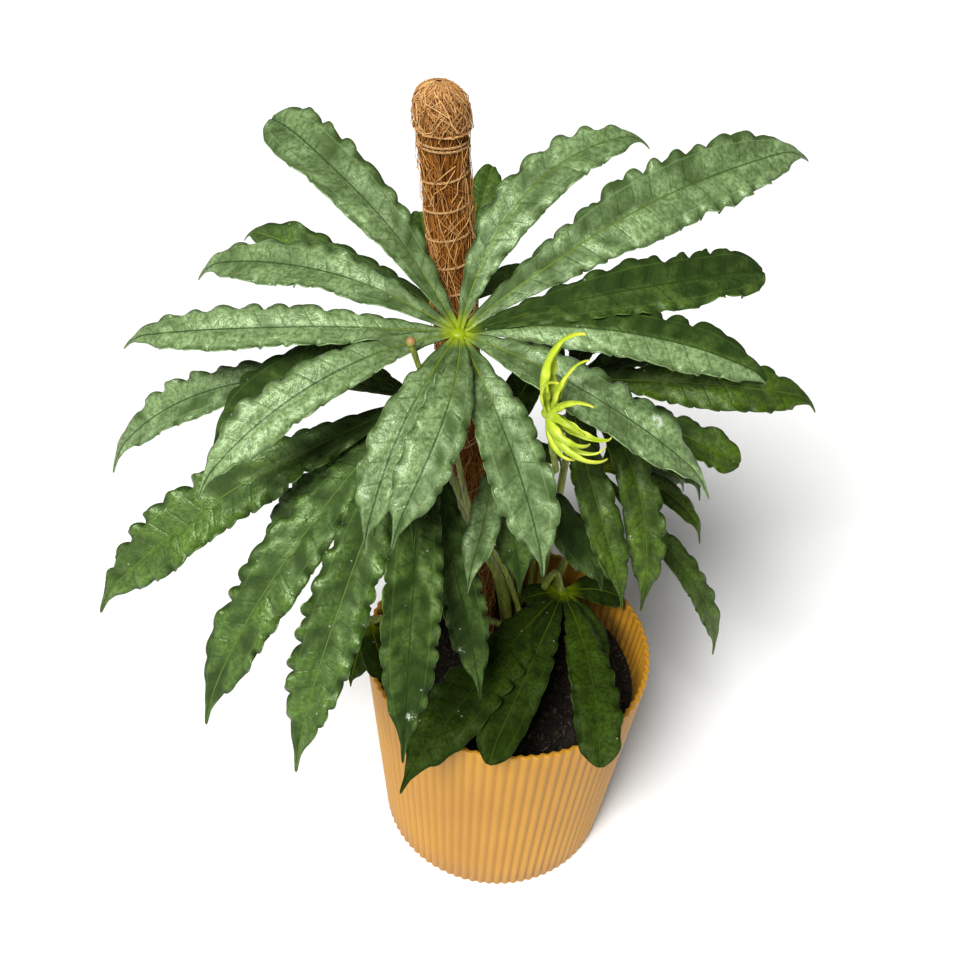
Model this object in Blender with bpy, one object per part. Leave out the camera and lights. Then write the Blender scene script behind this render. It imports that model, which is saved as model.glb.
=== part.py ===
"""Potted anthurium with palmate leaves, grown beside a coir pole in a ribbed pot.

Units are metres and +Z is up. The origin is the centre of the pot's flat base.
Each leaf is one solid: its stalk, its hub and its ring of leaflets. Every leaf stands in the soil.
"""
import math
from collections import namedtuple

import bmesh
import bpy
import numpy as np

MM = 0.001

# Pot: a tapered wall pressed into narrow upright ribs, inside and outside
POT_HEIGHT = 0.140
POT_RIM_RADIUS = 0.080
POT_BASE_RADIUS = 0.0665
POT_WALL = 0.0026
POT_FLOOR = 0.004
RIB_COUNT = 84
RIB_DEPTH = 0.0011

# Gap that touching pieces keep
GAP = 0.0003

# Soil
SOIL_TOP = 0.114
SOIL_BUMP = 0.0015
SOIL_SIDES = 48
SOIL_RINGS = 5

# Coir pole: a wooden stake wrapped in fibre, leaning to the left as it rises
POLE_FOOT = (-0.0165, 0.024, 0.112)
POLE_LEAN = 0.103
POLE_TOP = 0.454
STAKE_RADIUS = 0.0045
STAKE_TIP = 0.022
STAKE_POINT_LENGTH = 0.012
STAKE_TOP = 0.425
WRAP_RADIUS = 0.0102
WRAP_CAP_RADIUS = 0.0112
WRAP_FOOT = 0.092
WRAP_CAP_HEIGHT = 0.023
WRAP_CAP_ROUND = 0.011
WRAP_SIDES = 16
THREAD_RADIUS = 0.0006
THREAD_FOOT = 0.125
THREAD_TOP = 0.424
THREAD_CLOSE_FROM = 0.330
THREAD_CLOSE_PITCH = 0.014
THREAD_WIDE_PITCH = 0.030
THREAD_STEPS = 12
BAND_HEIGHT = 0.4275
BAND_RADIUS = 0.0006
BAND_TURNS = 2
BAND_STEPS = 18
BAND_PITCH = 0.0018

# Crown: the short stem that the stalks stand round
CROWN_CENTRE = (0.008, 0.028)
CROWN_RADIUS = 0.0052
CROWN_FOOT = 0.085
CROWN_TOP = 0.136
STALK_RING = 0.0098
STALK_FOOT = 0.098
STALK_RISE = 0.004
STALK_TAPER = 0.85

# Leaf blades
BLADE_THICKNESS = 0.0008
RIB_THICKNESS = 0.0014
ROOT_WIDTH = 0.0026
TIP_WIDTH = 0.0009
BLADE_FOLD = 0.16
RUFFLE = 0.15
# How far the blades turn towards the light, which comes from the front (degrees)
FACE_TILT = 30
HUB_RADIUS = 0.0048
HUB_FLATNESS = 0.6
STALK_SIDES = 6
LONG_LEAFLET = 100
LONG_STEPS = 10
SHORT_STEPS = 8

# How wide a leaflet is along its length, as a share of its greatest width
PROFILE_AT = (0.0, 0.06, 0.15, 0.30, 0.45, 0.60, 0.72, 0.82, 0.90, 0.96, 1.0)
PROFILE_WIDTH = (0.10, 0.18, 0.38, 0.72, 0.92, 1.0, 0.97, 0.82, 0.54, 0.24, 0.03)
BLUNT_END = 0.95

# One leaflet: compass bearing of its root from +X, how far it swings sideways, how steeply it
# rises at the root, how far it has fallen by the tip (all degrees), length and width (mm),
# and whether its tip is blunt
Leaflet = namedtuple("Leaflet", "bearing sweep rise fall length width blunt", defaults=(False,))

# One leaf: its hub (mm), where its stalk stands in the ring round the crown (degrees),
# the points its stalk passes on the way up (mm), the stalk's radius (mm) and its leaflets
Leaf = namedtuple("Leaf", "hub stand route radius leaflets")

LEAVES = {
    "leaf_top": Leaf(
        (-37, -5, 349), 216, [(-3, 12, 160), (-10, 5, 190), (-20, -1, 214), (-30, -6, 238), (-38, -9, 266),
                              (-38, -8, 310)], 2.6,
        [Leaflet(148, -19, 52, 59, 149, 28, True), Leaflet(159, -3, 21, 50, 147, 25),
         Leaflet(196, -32, 11, 33, 159, 24), Leaflet(190, -6, 2, 60, 136, 22),
         Leaflet(209, 6, 8, 55, 140, 23), Leaflet(246, 0, -5, 60, 107, 22),
         Leaflet(278, -50, 0, 60, 107, 23), Leaflet(297, 10, -11, 55, 116, 27),
         Leaflet(326, 24, 8, 50, 137, 27), Leaflet(355, 16, 18, 50, 154, 26),
         Leaflet(2, 37, 24, 39, 157, 27, True), Leaflet(27, 13, 37, 46, 210, 33),
         Leaflet(66, -42, 68, 74, 140, 25)]),
    "leaf_left": Leaf(
        (-55, 6, 301), 180, [(-6, 18, 160), (-15, 10, 200), (-27, 7, 232), (-41, 5, 264)], 2.6,
        [Leaflet(179, -4, 20, 82, 186, 22), Leaflet(212, -26, -6, 50, 198, 31),
         Leaflet(224, -40, -14, 60, 118, 20), Leaflet(236, -20, -12, 60, 194, 29),
         Leaflet(256, -16, -15, 60, 192, 29), Leaflet(277, -10, -11, 60, 175, 26),
         Leaflet(284, 34, -32, 44, 153, 21), Leaflet(266, -14, 22, 70, 80, 14),
         Leaflet(280, -14, 20, 70, 84, 14), Leaflet(150, 0, 10, 50, 100, 20)]),
    "leaf_right": Leaf(
        (18, 18, 310), 36, [(17, 37, 160), (20, 36, 210), (21, 28, 265)], 2.4,
        [Leaflet(327, 55, 32, 57, 127, 23), Leaflet(271, 47, -7, 60, 115, 18),
         Leaflet(314, -32, -4, 80, 122, 19), Leaflet(318, 41, 5, 31, 92, 20, True),
         Leaflet(306, 58, 12, 70, 90, 18), Leaflet(40, 0, 10, 50, 100, 20),
         Leaflet(78, 0, 10, 50, 95, 20), Leaflet(112, 0, 5, 50, 85, 18)]),
    "leaf_back": Leaf(
        (-46, 50, 325), 108, [(4, 41, 150), (-6, 47, 205), (-22, 52, 265)], 2.3,
        [Leaflet(62, 18, 62, 40, 84, 18), Leaflet(126, -26, 53, 40, 60, 14),
         Leaflet(180, -40, 27, 40, 120, 20), Leaflet(92, 0, 45, 45, 80, 16),
         Leaflet(28, 0, 30, 45, 60, 14)]),
    "leaf_inner": Leaf(
        (-17, 5, 274), 144, [(-1, 35, 160), (-3, 34, 215), (-8, 24, 250)], 2.2,
        [Leaflet(272, -18, -4, 35, 74, 15), Leaflet(290, 10, -24, 50, 70, 18),
         Leaflet(314, 45, -14, 50, 92, 22), Leaflet(58, -10, 62, 30, 56, 17),
         Leaflet(20, 0, 5, 50, 42, 12)]),
    "leaf_low_right": Leaf(
        (41, 43, 235), 0, [(25, 31, 160), (33, 35, 195)], 2.2,
        [Leaflet(337, -6, 25, 80, 70, 12), Leaflet(303, 75, -8, 74, 136, 15),
         Leaflet(60, 0, 10, 50, 80, 18), Leaflet(105, 0, 10, 50, 80, 18),
         Leaflet(20, 0, 5, 50, 60, 16)]),
    "leaf_front": Leaf(
        (28, 22, 161), 324, [(14, 20, 140), (16, 20, 160), (23, 24, 174)], 2.2,
        [Leaflet(240, -4, 14, 40, 153, 31), Leaflet(256, -8, 14, 40, 121, 23, True),
         Leaflet(288, -16, 16, 40, 117, 24, True), Leaflet(204, 0, 20, 30, 26, 13),
         Leaflet(20, -10, 5, 50, 44, 18), Leaflet(316, -28, 2, 40, 50, 14)]),
    "leaf_rim": Leaf(
        (-77, -13, 163), 252, [(1, 8, 142), (-20, -3, 163), (-48, -12, 176)], 2.0,
        [Leaflet(253, -6, -15, 60, 34, 16), Leaflet(292, 5, 9, 60, 40, 18),
         Leaflet(215, 0, 0, 60, 34, 14), Leaflet(175, 0, 5, 60, 30, 12)]),
}

# New leaf: still bright and half rolled, its leaflets curling like claws towards one side.
# A claw: angle round the leaf's axis, lean at the root, curl by the tip (degrees), length, width (mm)
Claw = namedtuple("Claw", "around lean curl length width")
NEW_HUB = (4, -56, 347)
NEW_AXIS = (0.88, -0.40, -0.25)
NEW_STAND = 72
NEW_ROUTE = [(11, 36, 160), (11, 31, 200), (12, 20, 235), (12, -14, 280), (11, -42, 305), (7, -54, 328)]
NEW_STALK_RADIUS = 1.7
NEW_HUB_RADIUS = 3.4
NEW_FOLD = 0.5
NEW_STEPS = 5
NEW_CLAWS = [
    Claw(96, -50, 95, 50, 9), Claw(95, -14, 42, 35, 4.5), Claw(72, 5, 60, 30, 4),
    Claw(61, -31, 62, 39, 3.5), Claw(40, -10, 140, 30, 3.5), Claw(8, -2, 160, 34, 5),
    Claw(-10, 17, 124, 41, 5), Claw(-43, 9, 98, 27, 7), Claw(-76, 23, 131, 37, 4.5),
    Claw(-109, 57, 96, 35, 4.5)]

# Bud stalk: a slender stalk that ends in a small round bud between two leaflets of the top leaf
BUD_STAND = 288
BUD_ROUTE = [(4, 8, 160), (-8, -4, 205), (-24, -13, 240), (-31, -18, 272), (-38, -21, 305), (-51.5, -24, 338)]
BUD_TIP = (-57, -26, 357)
BUD_STALK_RADIUS = 1.5
BUD_RADIUS = 2.2


def clear_scene():
    for thing in list(bpy.data.objects):
        bpy.data.objects.remove(thing, do_unlink=True)


def make_material(name, colour, roughness, metallic=0.0):
    material = bpy.data.materials.new(name)
    material.use_nodes = True
    shader = material.node_tree.nodes["Principled BSDF"]
    shader.inputs["Base Color"].default_value = (*colour, 1.0)
    shader.inputs["Roughness"].default_value = roughness
    shader.inputs["Metallic"].default_value = metallic
    material.diffuse_color = (*colour, 1.0)
    return material


def add_object(name, vertices, faces, material=None):
    """Link a closed mesh, its faces turned outwards."""
    mesh = bpy.data.meshes.new(name)
    mesh.from_pydata([tuple(v) for v in vertices], [], faces)
    work = bmesh.new()
    work.from_mesh(mesh)
    bmesh.ops.recalc_face_normals(work, faces=work.faces)
    work.to_mesh(mesh)
    work.free()
    if material:
        mesh.materials.append(material)
    thing = bpy.data.objects.new(name, mesh)
    bpy.context.scene.collection.objects.link(thing)
    return thing


def shade_round(thing, angle=40):
    thing.data.shade_smooth()
    thing.data.set_sharp_from_angle(angle=math.radians(angle))


def combine(base, pieces, operation):
    """Apply one Boolean between base and a collection that holds the pieces, then drop the pieces."""
    group = bpy.data.collections.new(base.name + "_pieces")
    bpy.context.scene.collection.children.link(group)
    for piece in pieces:
        bpy.context.scene.collection.objects.unlink(piece)
        group.objects.link(piece)
        piece.hide_render = True
        piece.display_type = "WIRE"
    boolean = base.modifiers.new("join", "BOOLEAN")
    boolean.operation = operation
    boolean.operand_type = "COLLECTION"
    boolean.collection = group
    boolean.solver = "EXACT"
    evaluated = base.evaluated_get(bpy.context.evaluated_depsgraph_get())
    result = bpy.data.meshes.new_from_object(evaluated)
    base.modifiers.clear()
    base.data = result
    result.name = base.name
    for piece in pieces:
        bpy.data.objects.remove(piece, do_unlink=True)
    bpy.data.collections.remove(group)


def unit(vector):
    return vector / np.linalg.norm(vector)


def smooth_path(points, steps):
    """Points along a Catmull-Rom curve through the given points, starting straight up."""
    points = np.asarray(points, float)
    below = points[0] - np.array([0.0, 0.0, np.linalg.norm(points[1] - points[0])])
    ends = [below, *points, 2 * points[-1] - points[-2]]
    path = []
    for p0, p1, p2, p3 in zip(ends, ends[1:], ends[2:], ends[3:]):
        for t in np.arange(steps) / steps:
            bend = 2 * p1 + (p2 - p0) * t + (2 * p0 - 5 * p1 + 4 * p2 - p3) * t ** 2
            path.append(0.5 * (bend + (3 * p1 - p0 - 3 * p2 + p3) * t ** 3))
    path.append(points[-1])
    return np.array(path)


def tube(path, radii, sides):
    """A closed tube round a path, with flat ends."""
    path = np.asarray(path, float)
    radii = np.broadcast_to(radii, len(path))
    tangents = np.gradient(path, axis=0)
    across = unit(np.cross(tangents[0], (0.3, 1.0, 0.2)))
    vertices = []
    for point, tangent, radius in zip(path, tangents, radii):
        tangent = unit(tangent)
        across = unit(across - tangent * across.dot(tangent))
        other = np.cross(tangent, across)
        for k in range(sides):
            angle = 2 * math.pi * k / sides
            vertices.append(point + radius * (math.cos(angle) * across + math.sin(angle) * other))
    faces = []
    for i in range(len(path) - 1):
        for k in range(sides):
            a, b = i * sides + k, i * sides + (k + 1) % sides
            faces.append((a, b, b + sides, a + sides))
    faces.append(tuple(range(sides)))
    last = (len(path) - 1) * sides
    faces.append(tuple(range(last, last + sides)))
    return vertices, faces


def turned(profile, sides):
    """A closed solid turned about +Z from (radius, height) pairs, flat at both ends."""
    vertices = []
    for radius, height in profile:
        for k in range(sides):
            angle = 2 * math.pi * k / sides
            vertices.append((radius * math.cos(angle), radius * math.sin(angle), height))
    faces = []
    for i in range(len(profile) - 1):
        for k in range(sides):
            a, b = i * sides + k, i * sides + (k + 1) % sides
            faces.append((a, b, b + sides, a + sides))
    faces.append(tuple(range(sides)))
    last = (len(profile) - 1) * sides
    faces.append(tuple(range(last, last + sides)))
    return vertices, faces


def on_pole(vertices):
    """Move vertices made about +Z onto the leaning pole, at the heights they have."""
    foot = np.array(POLE_FOOT)
    moved = []
    for x, y, z in vertices:
        moved.append((x + foot[0] - POLE_LEAN * (z - foot[2]), y + foot[1], z))
    return moved


def wall_radius(height):
    return POT_BASE_RADIUS + (POT_RIM_RADIUS - POT_BASE_RADIUS) * height / POT_HEIGHT


def ribbed_ring(radius, height):
    """One ring of the pot's wall: a crest and a valley for each rib."""
    ring = []
    for k in range(2 * RIB_COUNT):
        angle = math.pi * k / RIB_COUNT
        reach = radius - (RIB_DEPTH if k % 2 else 0.0)
        ring.append((reach * math.cos(angle), reach * math.sin(angle), height))
    return ring


def make_pot(material):
    inner_top = POT_RIM_RADIUS - POT_WALL
    rings = [
        ribbed_ring(POT_BASE_RADIUS, 0.0),
        ribbed_ring(POT_RIM_RADIUS, POT_HEIGHT),
        ribbed_ring(inner_top, POT_HEIGHT),
        ribbed_ring(wall_radius(POT_FLOOR) - POT_WALL, POT_FLOOR),
    ]
    vertices = [point for ring in rings for point in ring]
    count = 2 * RIB_COUNT
    faces = [tuple(range(count))]
    for i in range(len(rings) - 1):
        for k in range(count):
            a, b = i * count + k, i * count + (k + 1) % count
            faces.append((a, b, b + count, a + count))
    faces.append(tuple(range((len(rings) - 1) * count, len(rings) * count)))
    pot = add_object("pot", vertices, faces, material)
    shade_round(pot, 60)
    return pot


def soil_height(radius, angle):
    """The soil's bumpy top, a little lower at the wall."""
    bumps = math.sin(9 * radius / 0.02 + 2 * angle) + math.sin(5 * angle + radius / 0.006)
    return SOIL_TOP + SOIL_BUMP * 0.5 * bumps


def stand_point(angle):
    """Where a stalk stands in the ring round the crown."""
    turn = math.radians(angle)
    return np.array([CROWN_CENTRE[0] + STALK_RING * math.cos(turn),
                     CROWN_CENTRE[1] + STALK_RING * math.sin(turn)])


def upright_cutter(name, centre, radius, foot):
    """A plain upright hole, eight-sided, that clears a stalk of this radius."""
    reach = (radius + GAP) / math.cos(math.pi / 8)
    vertices, faces = turned([(reach, foot - GAP), (reach, SOIL_TOP + 0.01)], 8)
    vertices = [(x + centre[0], y + centre[1], z) for x, y, z in vertices]
    return add_object(name, vertices, faces)


def make_soil(material):
    def edge_radius(height):
        return wall_radius(height) - POT_WALL - RIB_DEPTH - GAP

    foot = POT_FLOOR + GAP
    vertices = []
    for k in range(SOIL_SIDES):
        angle = 2 * math.pi * k / SOIL_SIDES
        radius = edge_radius(foot)
        vertices.append((radius * math.cos(angle), radius * math.sin(angle), foot))
    for ring in range(SOIL_RINGS):
        for k in range(SOIL_SIDES):
            angle = 2 * math.pi * k / SOIL_SIDES
            radius = edge_radius(SOIL_TOP - 2 * SOIL_BUMP) * (1 - ring / SOIL_RINGS)
            height = soil_height(radius, angle) if ring else SOIL_TOP - SOIL_BUMP
            vertices.append((radius * math.cos(angle), radius * math.sin(angle), height))
    vertices.append((0.0, 0.0, SOIL_TOP))
    faces = [tuple(range(SOIL_SIDES))]
    for ring in range(SOIL_RINGS):
        for k in range(SOIL_SIDES):
            a, b = ring * SOIL_SIDES + k, ring * SOIL_SIDES + (k + 1) % SOIL_SIDES
            faces.append((a, b, b + SOIL_SIDES))
            faces.append((a, b + SOIL_SIDES, a + SOIL_SIDES))
    last = SOIL_RINGS * SOIL_SIDES
    for k in range(SOIL_SIDES):
        faces.append((last + k, last + (k + 1) % SOIL_SIDES, len(vertices) - 1))
    soil = add_object("soil", vertices, faces, material)

    top = SOIL_TOP + 0.01
    wrap_hole = (WRAP_RADIUS + 2 * GAP) / math.cos(math.pi / WRAP_SIDES)
    stake_hole = (STAKE_RADIUS + GAP) / math.cos(math.pi / 8)
    cutters = []
    for name, radius, height, sides in (("wrap_hole", wrap_hole, WRAP_FOOT - GAP, WRAP_SIDES),
                                        ("stake_hole", stake_hole, STAKE_TIP - GAP, 8)):
        hole, hole_faces = turned([(radius, height), (radius, top)], sides)
        cutters.append(add_object(name, on_pole(hole), hole_faces))
    cutters.append(upright_cutter("crown_hole", CROWN_CENTRE, CROWN_RADIUS, CROWN_FOOT))
    stands = [(leaf.stand, leaf.radius) for leaf in LEAVES.values()]
    stands += [(NEW_STAND, NEW_STALK_RADIUS), (BUD_STAND, BUD_STALK_RADIUS)]
    for angle, radius in stands:
        name = "stalk_hole_%d" % angle
        cutters.append(upright_cutter(name, stand_point(angle), radius * MM, STALK_FOOT))
    combine(soil, cutters, "DIFFERENCE")
    return soil


def make_pole(wood, fibre, thread):
    stake_profile = [(0.001, STAKE_TIP), (STAKE_RADIUS, STAKE_TIP + STAKE_POINT_LENGTH),
                     (STAKE_RADIUS, STAKE_TOP)]
    vertices, faces = turned(stake_profile, 8)
    shade_round(add_object("pole_stake", on_pole(vertices), faces, wood))

    cap_foot = POLE_TOP - WRAP_CAP_HEIGHT
    bore = (STAKE_RADIUS + GAP) / math.cos(math.pi / 8)
    profile = [(WRAP_RADIUS, WRAP_FOOT)]
    for share in (0.2, 0.4, 0.6, 0.8):
        profile.append((WRAP_RADIUS, WRAP_FOOT + share * (cap_foot - WRAP_FOOT)))
    profile.append((WRAP_RADIUS, cap_foot))
    for angle in (0, 30, 55, 75):
        turn = math.radians(angle)
        height = POLE_TOP - WRAP_CAP_ROUND * (1 - math.sin(turn))
        profile.append((WRAP_CAP_RADIUS * math.cos(turn), height))
    vertices, faces = turned(profile, WRAP_SIDES)
    wrap = add_object("coir_wrap", on_pole(vertices), faces, fibre)
    bore_vertices, bore_faces = turned([(bore, WRAP_FOOT - 0.01), (bore, STAKE_TOP + GAP)], 8)
    combine(wrap, [add_object("wrap_bore", on_pole(bore_vertices), bore_faces)], "DIFFERENCE")
    shade_round(wrap)

    reach = (WRAP_RADIUS + GAP + THREAD_RADIUS) / math.cos(math.pi / THREAD_STEPS)
    route = []
    height = THREAD_FOOT
    angle = 0.0
    while height < THREAD_TOP:
        route.append((reach * math.cos(angle), reach * math.sin(angle), height))
        pitch = THREAD_CLOSE_PITCH if height > THREAD_CLOSE_FROM else THREAD_WIDE_PITCH
        height += pitch / THREAD_STEPS
        angle += 2 * math.pi / THREAD_STEPS
    vertices, faces = tube(on_pole(route), THREAD_RADIUS, 3)
    shade_round(add_object("binding_thread", vertices, faces, thread))

    band = []
    reach = (WRAP_RADIUS + GAP + BAND_RADIUS) / math.cos(math.pi / BAND_STEPS)
    for i in range(BAND_TURNS * BAND_STEPS + 1):
        angle = 2 * math.pi * i / BAND_STEPS
        height = BAND_HEIGHT + BAND_PITCH * (i / BAND_STEPS - 1)
        band.append((reach * math.cos(angle), reach * math.sin(angle), height))
    vertices, faces = tube(on_pole(band), BAND_RADIUS, 4)
    shade_round(add_object("pole_band", vertices, faces, thread))


def make_crown(material):
    profile = [(CROWN_RADIUS * 0.7, CROWN_FOOT), (CROWN_RADIUS, CROWN_FOOT + 0.006),
               (CROWN_RADIUS, CROWN_TOP - 0.022), (CROWN_RADIUS * 0.8, CROWN_TOP - 0.008),
               (CROWN_RADIUS * 0.35, CROWN_TOP)]
    vertices, faces = turned(profile, 10)
    vertices = [(x + CROWN_CENTRE[0], y + CROWN_CENTRE[1], z) for x, y, z in vertices]
    shade_round(add_object("crown", vertices, faces, material))


def leaflet_curve(hub, row, steps):
    """A leaflet's midrib from the hub to the tip."""
    shares = (np.arange(steps) + 0.5) / steps
    heading = np.radians(row.bearing + row.sweep * shares)
    climb = np.radians(row.rise - row.fall * shares)
    moves = np.stack([np.cos(climb) * np.cos(heading), np.cos(climb) * np.sin(heading), np.sin(climb)], 1)
    return hub + np.vstack([np.zeros(3), np.cumsum(moves, 0)]) * (row.length * MM / steps)


def across_blade(points):
    """The direction across a blade at each point of its midrib, for a blade turned to the light."""
    tilt = math.radians(FACE_TILT)
    across = np.cross((0.0, -math.sin(tilt), math.cos(tilt)), np.gradient(points, axis=0))
    return across / np.linalg.norm(across, axis=1, keepdims=True)


def half_widths(count, width, blunt):
    """Half the blade's width at each of its sections."""
    shares = np.linspace(0, BLUNT_END if blunt else 1.0, count)
    half = np.interp(shares, PROFILE_AT, PROFILE_WIDTH) * width / 2
    half[0] = ROOT_WIDTH / 2
    half[-1] = max(half[-1], TIP_WIDTH / 2)
    return half


def blade(points, across, half, fold, ruffle):
    """A thin closed blade: folded up from its midrib, its margins waved up and down in turn."""
    count = len(points)
    tangents = np.gradient(points, axis=0)
    vertices = []
    for i in range(count):
        normal = unit(np.cross(tangents[i], across[i]))
        lift = fold * half[i]
        wave = ruffle * half[i] * (-1) ** i
        rib = RIB_THICKNESS + (BLADE_THICKNESS - RIB_THICKNESS) * i / (count - 1)
        left = points[i] + across[i] * half[i] + normal * (lift + wave)
        right = points[i] - across[i] * half[i] + normal * (lift - wave)
        upper = normal * BLADE_THICKNESS / 2
        keel = normal * (BLADE_THICKNESS / 2 - rib)
        vertices += [left + upper, points[i] + upper, right + upper]
        vertices += [left - upper, points[i] + keel, right - upper]
    faces = []
    for i in range(count - 1):
        a, b = 6 * i, 6 * i + 6
        for side in (0, 3):
            faces += [(a + side, a + 1 + side, b + 1 + side), (a + side, b + 1 + side, b + side)]
            faces += [(a + 1 + side, a + 2 + side, b + 1 + side), (a + 2 + side, b + 2 + side, b + 1 + side)]
        faces += [(a, b, b + 3, a + 3), (a + 2, b + 2, b + 5, a + 5)]
    for end in (0, 6 * (count - 1)):
        faces += [(end, end + 1, end + 4, end + 3), (end + 1, end + 2, end + 5, end + 4)]
    return vertices, faces


def make_stalk(name, stand, route, hub, radius):
    """A stalk that stands upright in the soil and then curves up to its hub."""
    foot = stand_point(stand)
    points = [(*foot, SOIL_TOP + STALK_RISE)]
    points += [tuple(np.array(point) * MM) for point in route]
    points.append(tuple(np.array(hub) * MM))
    path = np.vstack([(*foot, STALK_FOOT), smooth_path(points, 3)])
    radii = radius * MM * np.linspace(1.0, STALK_TAPER, len(path))
    return add_object(name, *tube(path, radii, STALK_SIDES))


def make_hub(name, centre, radius, material):
    """A small flattened knot that the leaflets and the stalk run into."""
    mesh = bpy.data.meshes.new(name)
    work = bmesh.new()
    bmesh.ops.create_icosphere(work, subdivisions=1, radius=radius)
    bmesh.ops.scale(work, vec=(1.0, 1.0, HUB_FLATNESS), verts=work.verts)
    bmesh.ops.translate(work, vec=centre, verts=work.verts)
    work.to_mesh(mesh)
    work.free()
    mesh.materials.append(material)
    hub = bpy.data.objects.new(name, mesh)
    bpy.context.scene.collection.objects.link(hub)
    return hub


def leaflet_steps(length):
    """More sections on a longer leaflet."""
    return LONG_STEPS if length >= LONG_LEAFLET else SHORT_STEPS


def make_leaf(name, leaf, material):
    centre = np.array(leaf.hub) * MM
    body = make_hub(name, centre, HUB_RADIUS, material)
    pieces = [make_stalk(name + "_stalk", leaf.stand, leaf.route, leaf.hub, leaf.radius)]
    for number, row in enumerate(leaf.leaflets):
        points = leaflet_curve(centre, row, leaflet_steps(row.length))
        half = half_widths(len(points), row.width * MM, row.blunt)
        vertices, faces = blade(points, across_blade(points), half, BLADE_FOLD, RUFFLE)
        pieces.append(add_object("%s_%d" % (name, number), vertices, faces))
    combine(body, pieces, "UNION")
    return body


def claw_curve(hub, axis, row, steps):
    """A half-rolled leaflet's midrib: out from the hub, then curling towards the leaf's axis."""
    axis = unit(np.array(axis))
    upward = unit(np.array([0.0, 0.0, 1.0]) - axis * axis[2])
    level = np.cross(axis, upward)
    turn = math.radians(row.around)
    outward = math.cos(turn) * level + math.sin(turn) * upward
    across = np.cross(axis, outward)
    shares = (np.arange(steps) + 0.5) / steps
    lean = np.radians(row.lean + row.curl * shares)
    moves = np.cos(lean)[:, None] * outward + np.sin(lean)[:, None] * axis
    points = np.vstack([np.zeros(3), np.cumsum(moves, 0)]) * (row.length * MM / steps)
    return hub + points, np.broadcast_to(across, (steps + 1, 3))


def make_new_leaf(material):
    name = "leaf_new"
    centre = np.array(NEW_HUB) * MM
    body = make_hub(name, centre, NEW_HUB_RADIUS * MM, material)
    pieces = [make_stalk(name + "_stalk", NEW_STAND, NEW_ROUTE, NEW_HUB, NEW_STALK_RADIUS)]
    for number, row in enumerate(NEW_CLAWS):
        points, across = claw_curve(centre, NEW_AXIS, row, NEW_STEPS)
        half = half_widths(len(points), row.width * MM, False)
        vertices, faces = blade(points, across, half, NEW_FOLD, 0.0)
        pieces.append(add_object("%s_%d" % (name, number), vertices, faces))
    combine(body, pieces, "UNION")
    return body


def make_bud_stalk(material):
    tip = np.array(BUD_TIP) * MM
    stalk = make_stalk("bud_stalk", BUD_STAND, BUD_ROUTE, BUD_TIP, BUD_STALK_RADIUS)
    stalk.data.materials.append(material)
    bud = make_hub("bud", tip, BUD_RADIUS * MM, material)
    combine(stalk, [bud], "UNION")
    return stalk


def build():
    clear_scene()
    yellow = make_material("pot_yellow", (0.80, 0.56, 0.22), 0.45)
    earth = make_material("soil_dark", (0.020, 0.014, 0.010), 0.95)
    wood = make_material("stake_wood", (0.35, 0.22, 0.12), 0.7)
    fibre = make_material("coir_brown", (0.28, 0.13, 0.055), 0.9)
    twine = make_material("twine_tan", (0.42, 0.24, 0.11), 0.85)
    stem = make_material("stem_green", (0.25, 0.30, 0.04), 0.5)
    green = make_material("leaf_green", (0.055, 0.14, 0.035), 0.42)
    fresh = make_material("leaf_fresh", (0.45, 0.55, 0.03), 0.45)

    make_pot(yellow)
    make_soil(earth)
    make_pole(wood, fibre, twine)
    make_crown(stem)
    for name, leaf in LEAVES.items():
        make_leaf(name, leaf, green)
    make_new_leaf(fresh)
    make_bud_stalk(stem)


build()
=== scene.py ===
# %% [markdown]
# # A potted anthurium beside a coir pole
# The plant has long palmate leaves with waved margins. It grows in a ribbed pot, next to a pole that
# is wrapped in coir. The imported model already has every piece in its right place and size, as plain
# faceted solids. This script loads it as a frame and dresses it: finer leaves with veins, thousands of
# coir fibres, loose bark on the soil, a smoothly ribbed pot, and a material for each surface.

import math
from collections import namedtuple

import bmesh
import bpy
import numpy as np
from mathutils import Matrix, Vector


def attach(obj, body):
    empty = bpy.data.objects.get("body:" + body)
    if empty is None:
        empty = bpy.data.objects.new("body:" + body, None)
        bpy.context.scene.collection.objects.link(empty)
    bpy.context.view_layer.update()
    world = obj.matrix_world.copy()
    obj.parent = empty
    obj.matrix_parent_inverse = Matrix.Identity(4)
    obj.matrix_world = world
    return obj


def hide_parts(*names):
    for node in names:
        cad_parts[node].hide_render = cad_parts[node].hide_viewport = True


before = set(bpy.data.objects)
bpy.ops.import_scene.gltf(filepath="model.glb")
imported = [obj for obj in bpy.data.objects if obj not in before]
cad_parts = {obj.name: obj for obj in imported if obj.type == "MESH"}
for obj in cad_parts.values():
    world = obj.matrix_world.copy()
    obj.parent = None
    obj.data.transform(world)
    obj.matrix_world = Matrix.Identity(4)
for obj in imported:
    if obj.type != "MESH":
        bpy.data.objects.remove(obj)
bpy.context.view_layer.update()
MM = 0.001


print("nodes:", ", ".join(sorted(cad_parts)))

# %% [markdown]
# ## Helpers for node trees
# Shader trees and Geometry Nodes trees are both networks of nodes. One helper adds a node, sets or
# wires its inputs and hands back an output, so that a tree reads like a formula. The others are short
# names for the steps of arithmetic and colour that every tree here needs.

# %% Node arithmetic
def put(tree, kind, inputs=None, out=0, **settings):
    """Add a node, set or wire its inputs, and return one of its outputs."""
    node = tree.nodes.new(kind)
    for name, value in settings.items():
        setattr(node, name, value)
    for key, value in (inputs or {}).items():
        if isinstance(value, bpy.types.NodeSocket):
            tree.links.new(value, node.inputs[key])
        else:
            node.inputs[key].default_value = value
    return node.outputs[out]


def calc(tree, operation, *values):
    """One step of arithmetic on numbers."""
    return put(tree, "ShaderNodeMath", dict(enumerate(values)), operation=operation)


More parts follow.
